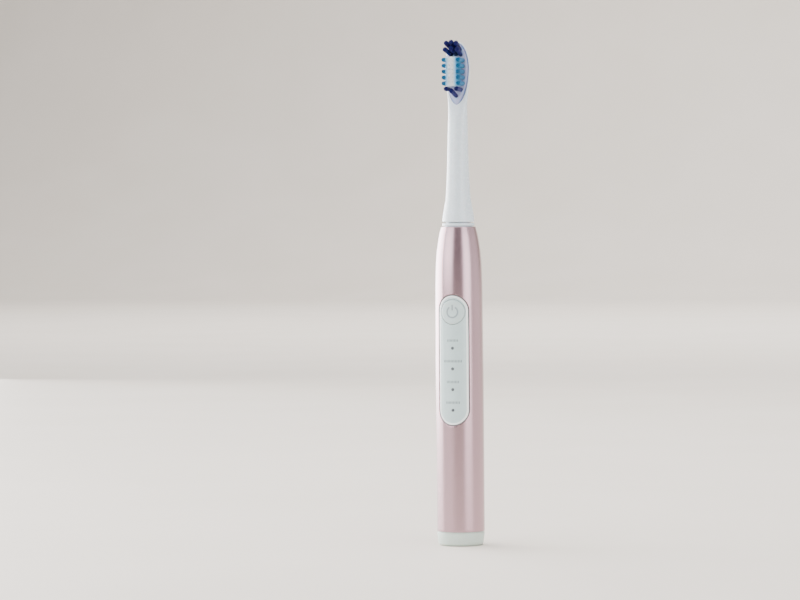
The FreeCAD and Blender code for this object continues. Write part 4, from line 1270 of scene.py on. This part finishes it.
class BRUSH_OT_stage(PieceOperator, bpy.types.Operator):
    """Set up the floor, the soft lights and the camera"""

    bl_idname = "brush.stage"
    bl_label = "Stage"

    def build(self):
        scene = bpy.context.scene
        f = Finish("Pale Floor", srgb("DDD4C9"), 0.6)
        f.tint(f.noise(6, 3.0), ((0.3, srgb("DBD2C7")), (0.7, srgb("DFD6CC"))))
        floor = new_object("floor", self.floor_mesh())
        floor.data.materials.append(f.material)
        for name, bearing, away, lift, across, high, radiance, tone in LIGHTS:
            a = math.radians(VIEW_TURN + bearing)
            place = Vector((away * math.sin(a), -away * math.cos(a), lift + high / 2))
            self.light(name, place, Vector((0, 0, place.z)), across, high, radiance, tone)
        for name, place, aim, across, deep, radiance in OVERHEAD:
            self.light(name, Vector(place), Vector(aim), across, deep, radiance, "FFFFFF")
        world = bpy.data.worlds.new("Studio")
        scene.world = world
        world.use_nodes = True
        background = world.node_tree.nodes["Background"].inputs
        background["Color"].default_value = (*srgb("D5D7DA"), 1.0)
        background["Strength"].default_value = 0.34
        self.camera(scene)

    def floor_mesh(self):
        """A floor that turns up into a backdrop behind."""
        near_edge, bend, radius, top, side = -4.0, 5.0, 1.0, 6.0, 7.0
        path = [(near_edge, 0.0), (bend, 0.0)]
        turns = heights(0.1, math.pi / 2, 0.1)
        path += [(bend + radius * math.sin(a), radius * (1 - math.cos(a))) for a in turns]
        path.append((bend + radius, top))
        verts = [(x, y, z) for y, z in path for x in (-side, side)]
        faces = [(2 * k, 2 * k + 1, 2 * k + 3, 2 * k + 2) for k in range(len(path) - 1)]
        mesh = bpy.data.meshes.new("floor")
        mesh.from_pydata(verts, [], faces)
        mesh.shade_smooth()
        return mesh

    def light(self, name, place, aim, across, high, radiance, tone):
        data = bpy.data.lights.new(name, "AREA")
        data.shape = "RECTANGLE"
        data.size = across
        data.size_y = high
        data.energy = radiance * math.pi * across * high
        data.spread = LIGHT_SPREAD
        data.color = srgb(tone)
        obj = bpy.data.objects.new(name, data)
        obj.location = place
        obj.rotation_euler = (aim - place).to_track_quat("-Z", "Y").to_euler()
        bpy.context.scene.collection.objects.link(obj)

    def camera(self, scene):
        data = bpy.data.cameras.new("Camera")
        data.lens = VIEW_LENS
        data.sensor_width = 36.0
        data.clip_start = 0.05
        obj = bpy.data.objects.new("Camera", data)
        turn = math.radians(VIEW_TURN)
        obj.location = (VIEW_DISTANCE * math.sin(turn), -VIEW_DISTANCE * math.cos(turn), VIEW_HEIGHT)
        ahead = turn + math.radians(VIEW_YAW)
        aim = Matrix.Rotation(ahead, 4, "Z") @ Matrix.Rotation(math.radians(90 - VIEW_PITCH), 4, "X")
        obj.rotation_euler = (aim @ Matrix.Rotation(math.radians(VIEW_ROLL), 4, "Z")).to_euler()
        scene.collection.objects.link(obj)
        scene.camera = obj


# Panel


class BRUSH_PT_sidebar(bpy.types.Panel):
    bl_label = "Toothbrush"
    bl_idname = "BRUSH_PT_sidebar"
    bl_space_type = "VIEW_3D"
    bl_region_type = "UI"
    bl_category = "Toothbrush"

    def draw(self, context):
        layout = self.layout
        for group in (context.scene.brush_colours, context.scene.brush_sizes):
            box = layout.box()
            for name in group.__annotations__:
                box.prop(group, name)
        for operator in OPERATORS:
            layout.operator(operator.bl_idname)


OPERATORS = (
    BRUSH_OT_handle,
    BRUSH_OT_base,
    BRUSH_OT_collar,
    BRUSH_OT_panel,
    BRUSH_OT_button,
    BRUSH_OT_indicators,
    BRUSH_OT_neck,
    BRUSH_OT_plate,
    BRUSH_OT_bristles,
    BRUSH_OT_inside,
    BRUSH_OT_stage,
)
CLASSES = (BrushColours, BrushSizes, *OPERATORS, BRUSH_PT_sidebar)


def register():
    for cls in CLASSES:
        bpy.utils.register_class(cls)
    bpy.types.Scene.brush_colours = bpy.props.PointerProperty(type=BrushColours)
    bpy.types.Scene.brush_sizes = bpy.props.PointerProperty(type=BrushSizes)


def unregister():
    del bpy.types.Scene.brush_sizes
    del bpy.types.Scene.brush_colours
    for cls in reversed(CLASSES):
        bpy.utils.unregister_class(cls)


def main():
    register()
    for operator in OPERATORS:
        group, name = operator.bl_idname.split(".")
        getattr(getattr(bpy.ops, group), name)()


if __name__ == "__main__":
    main()
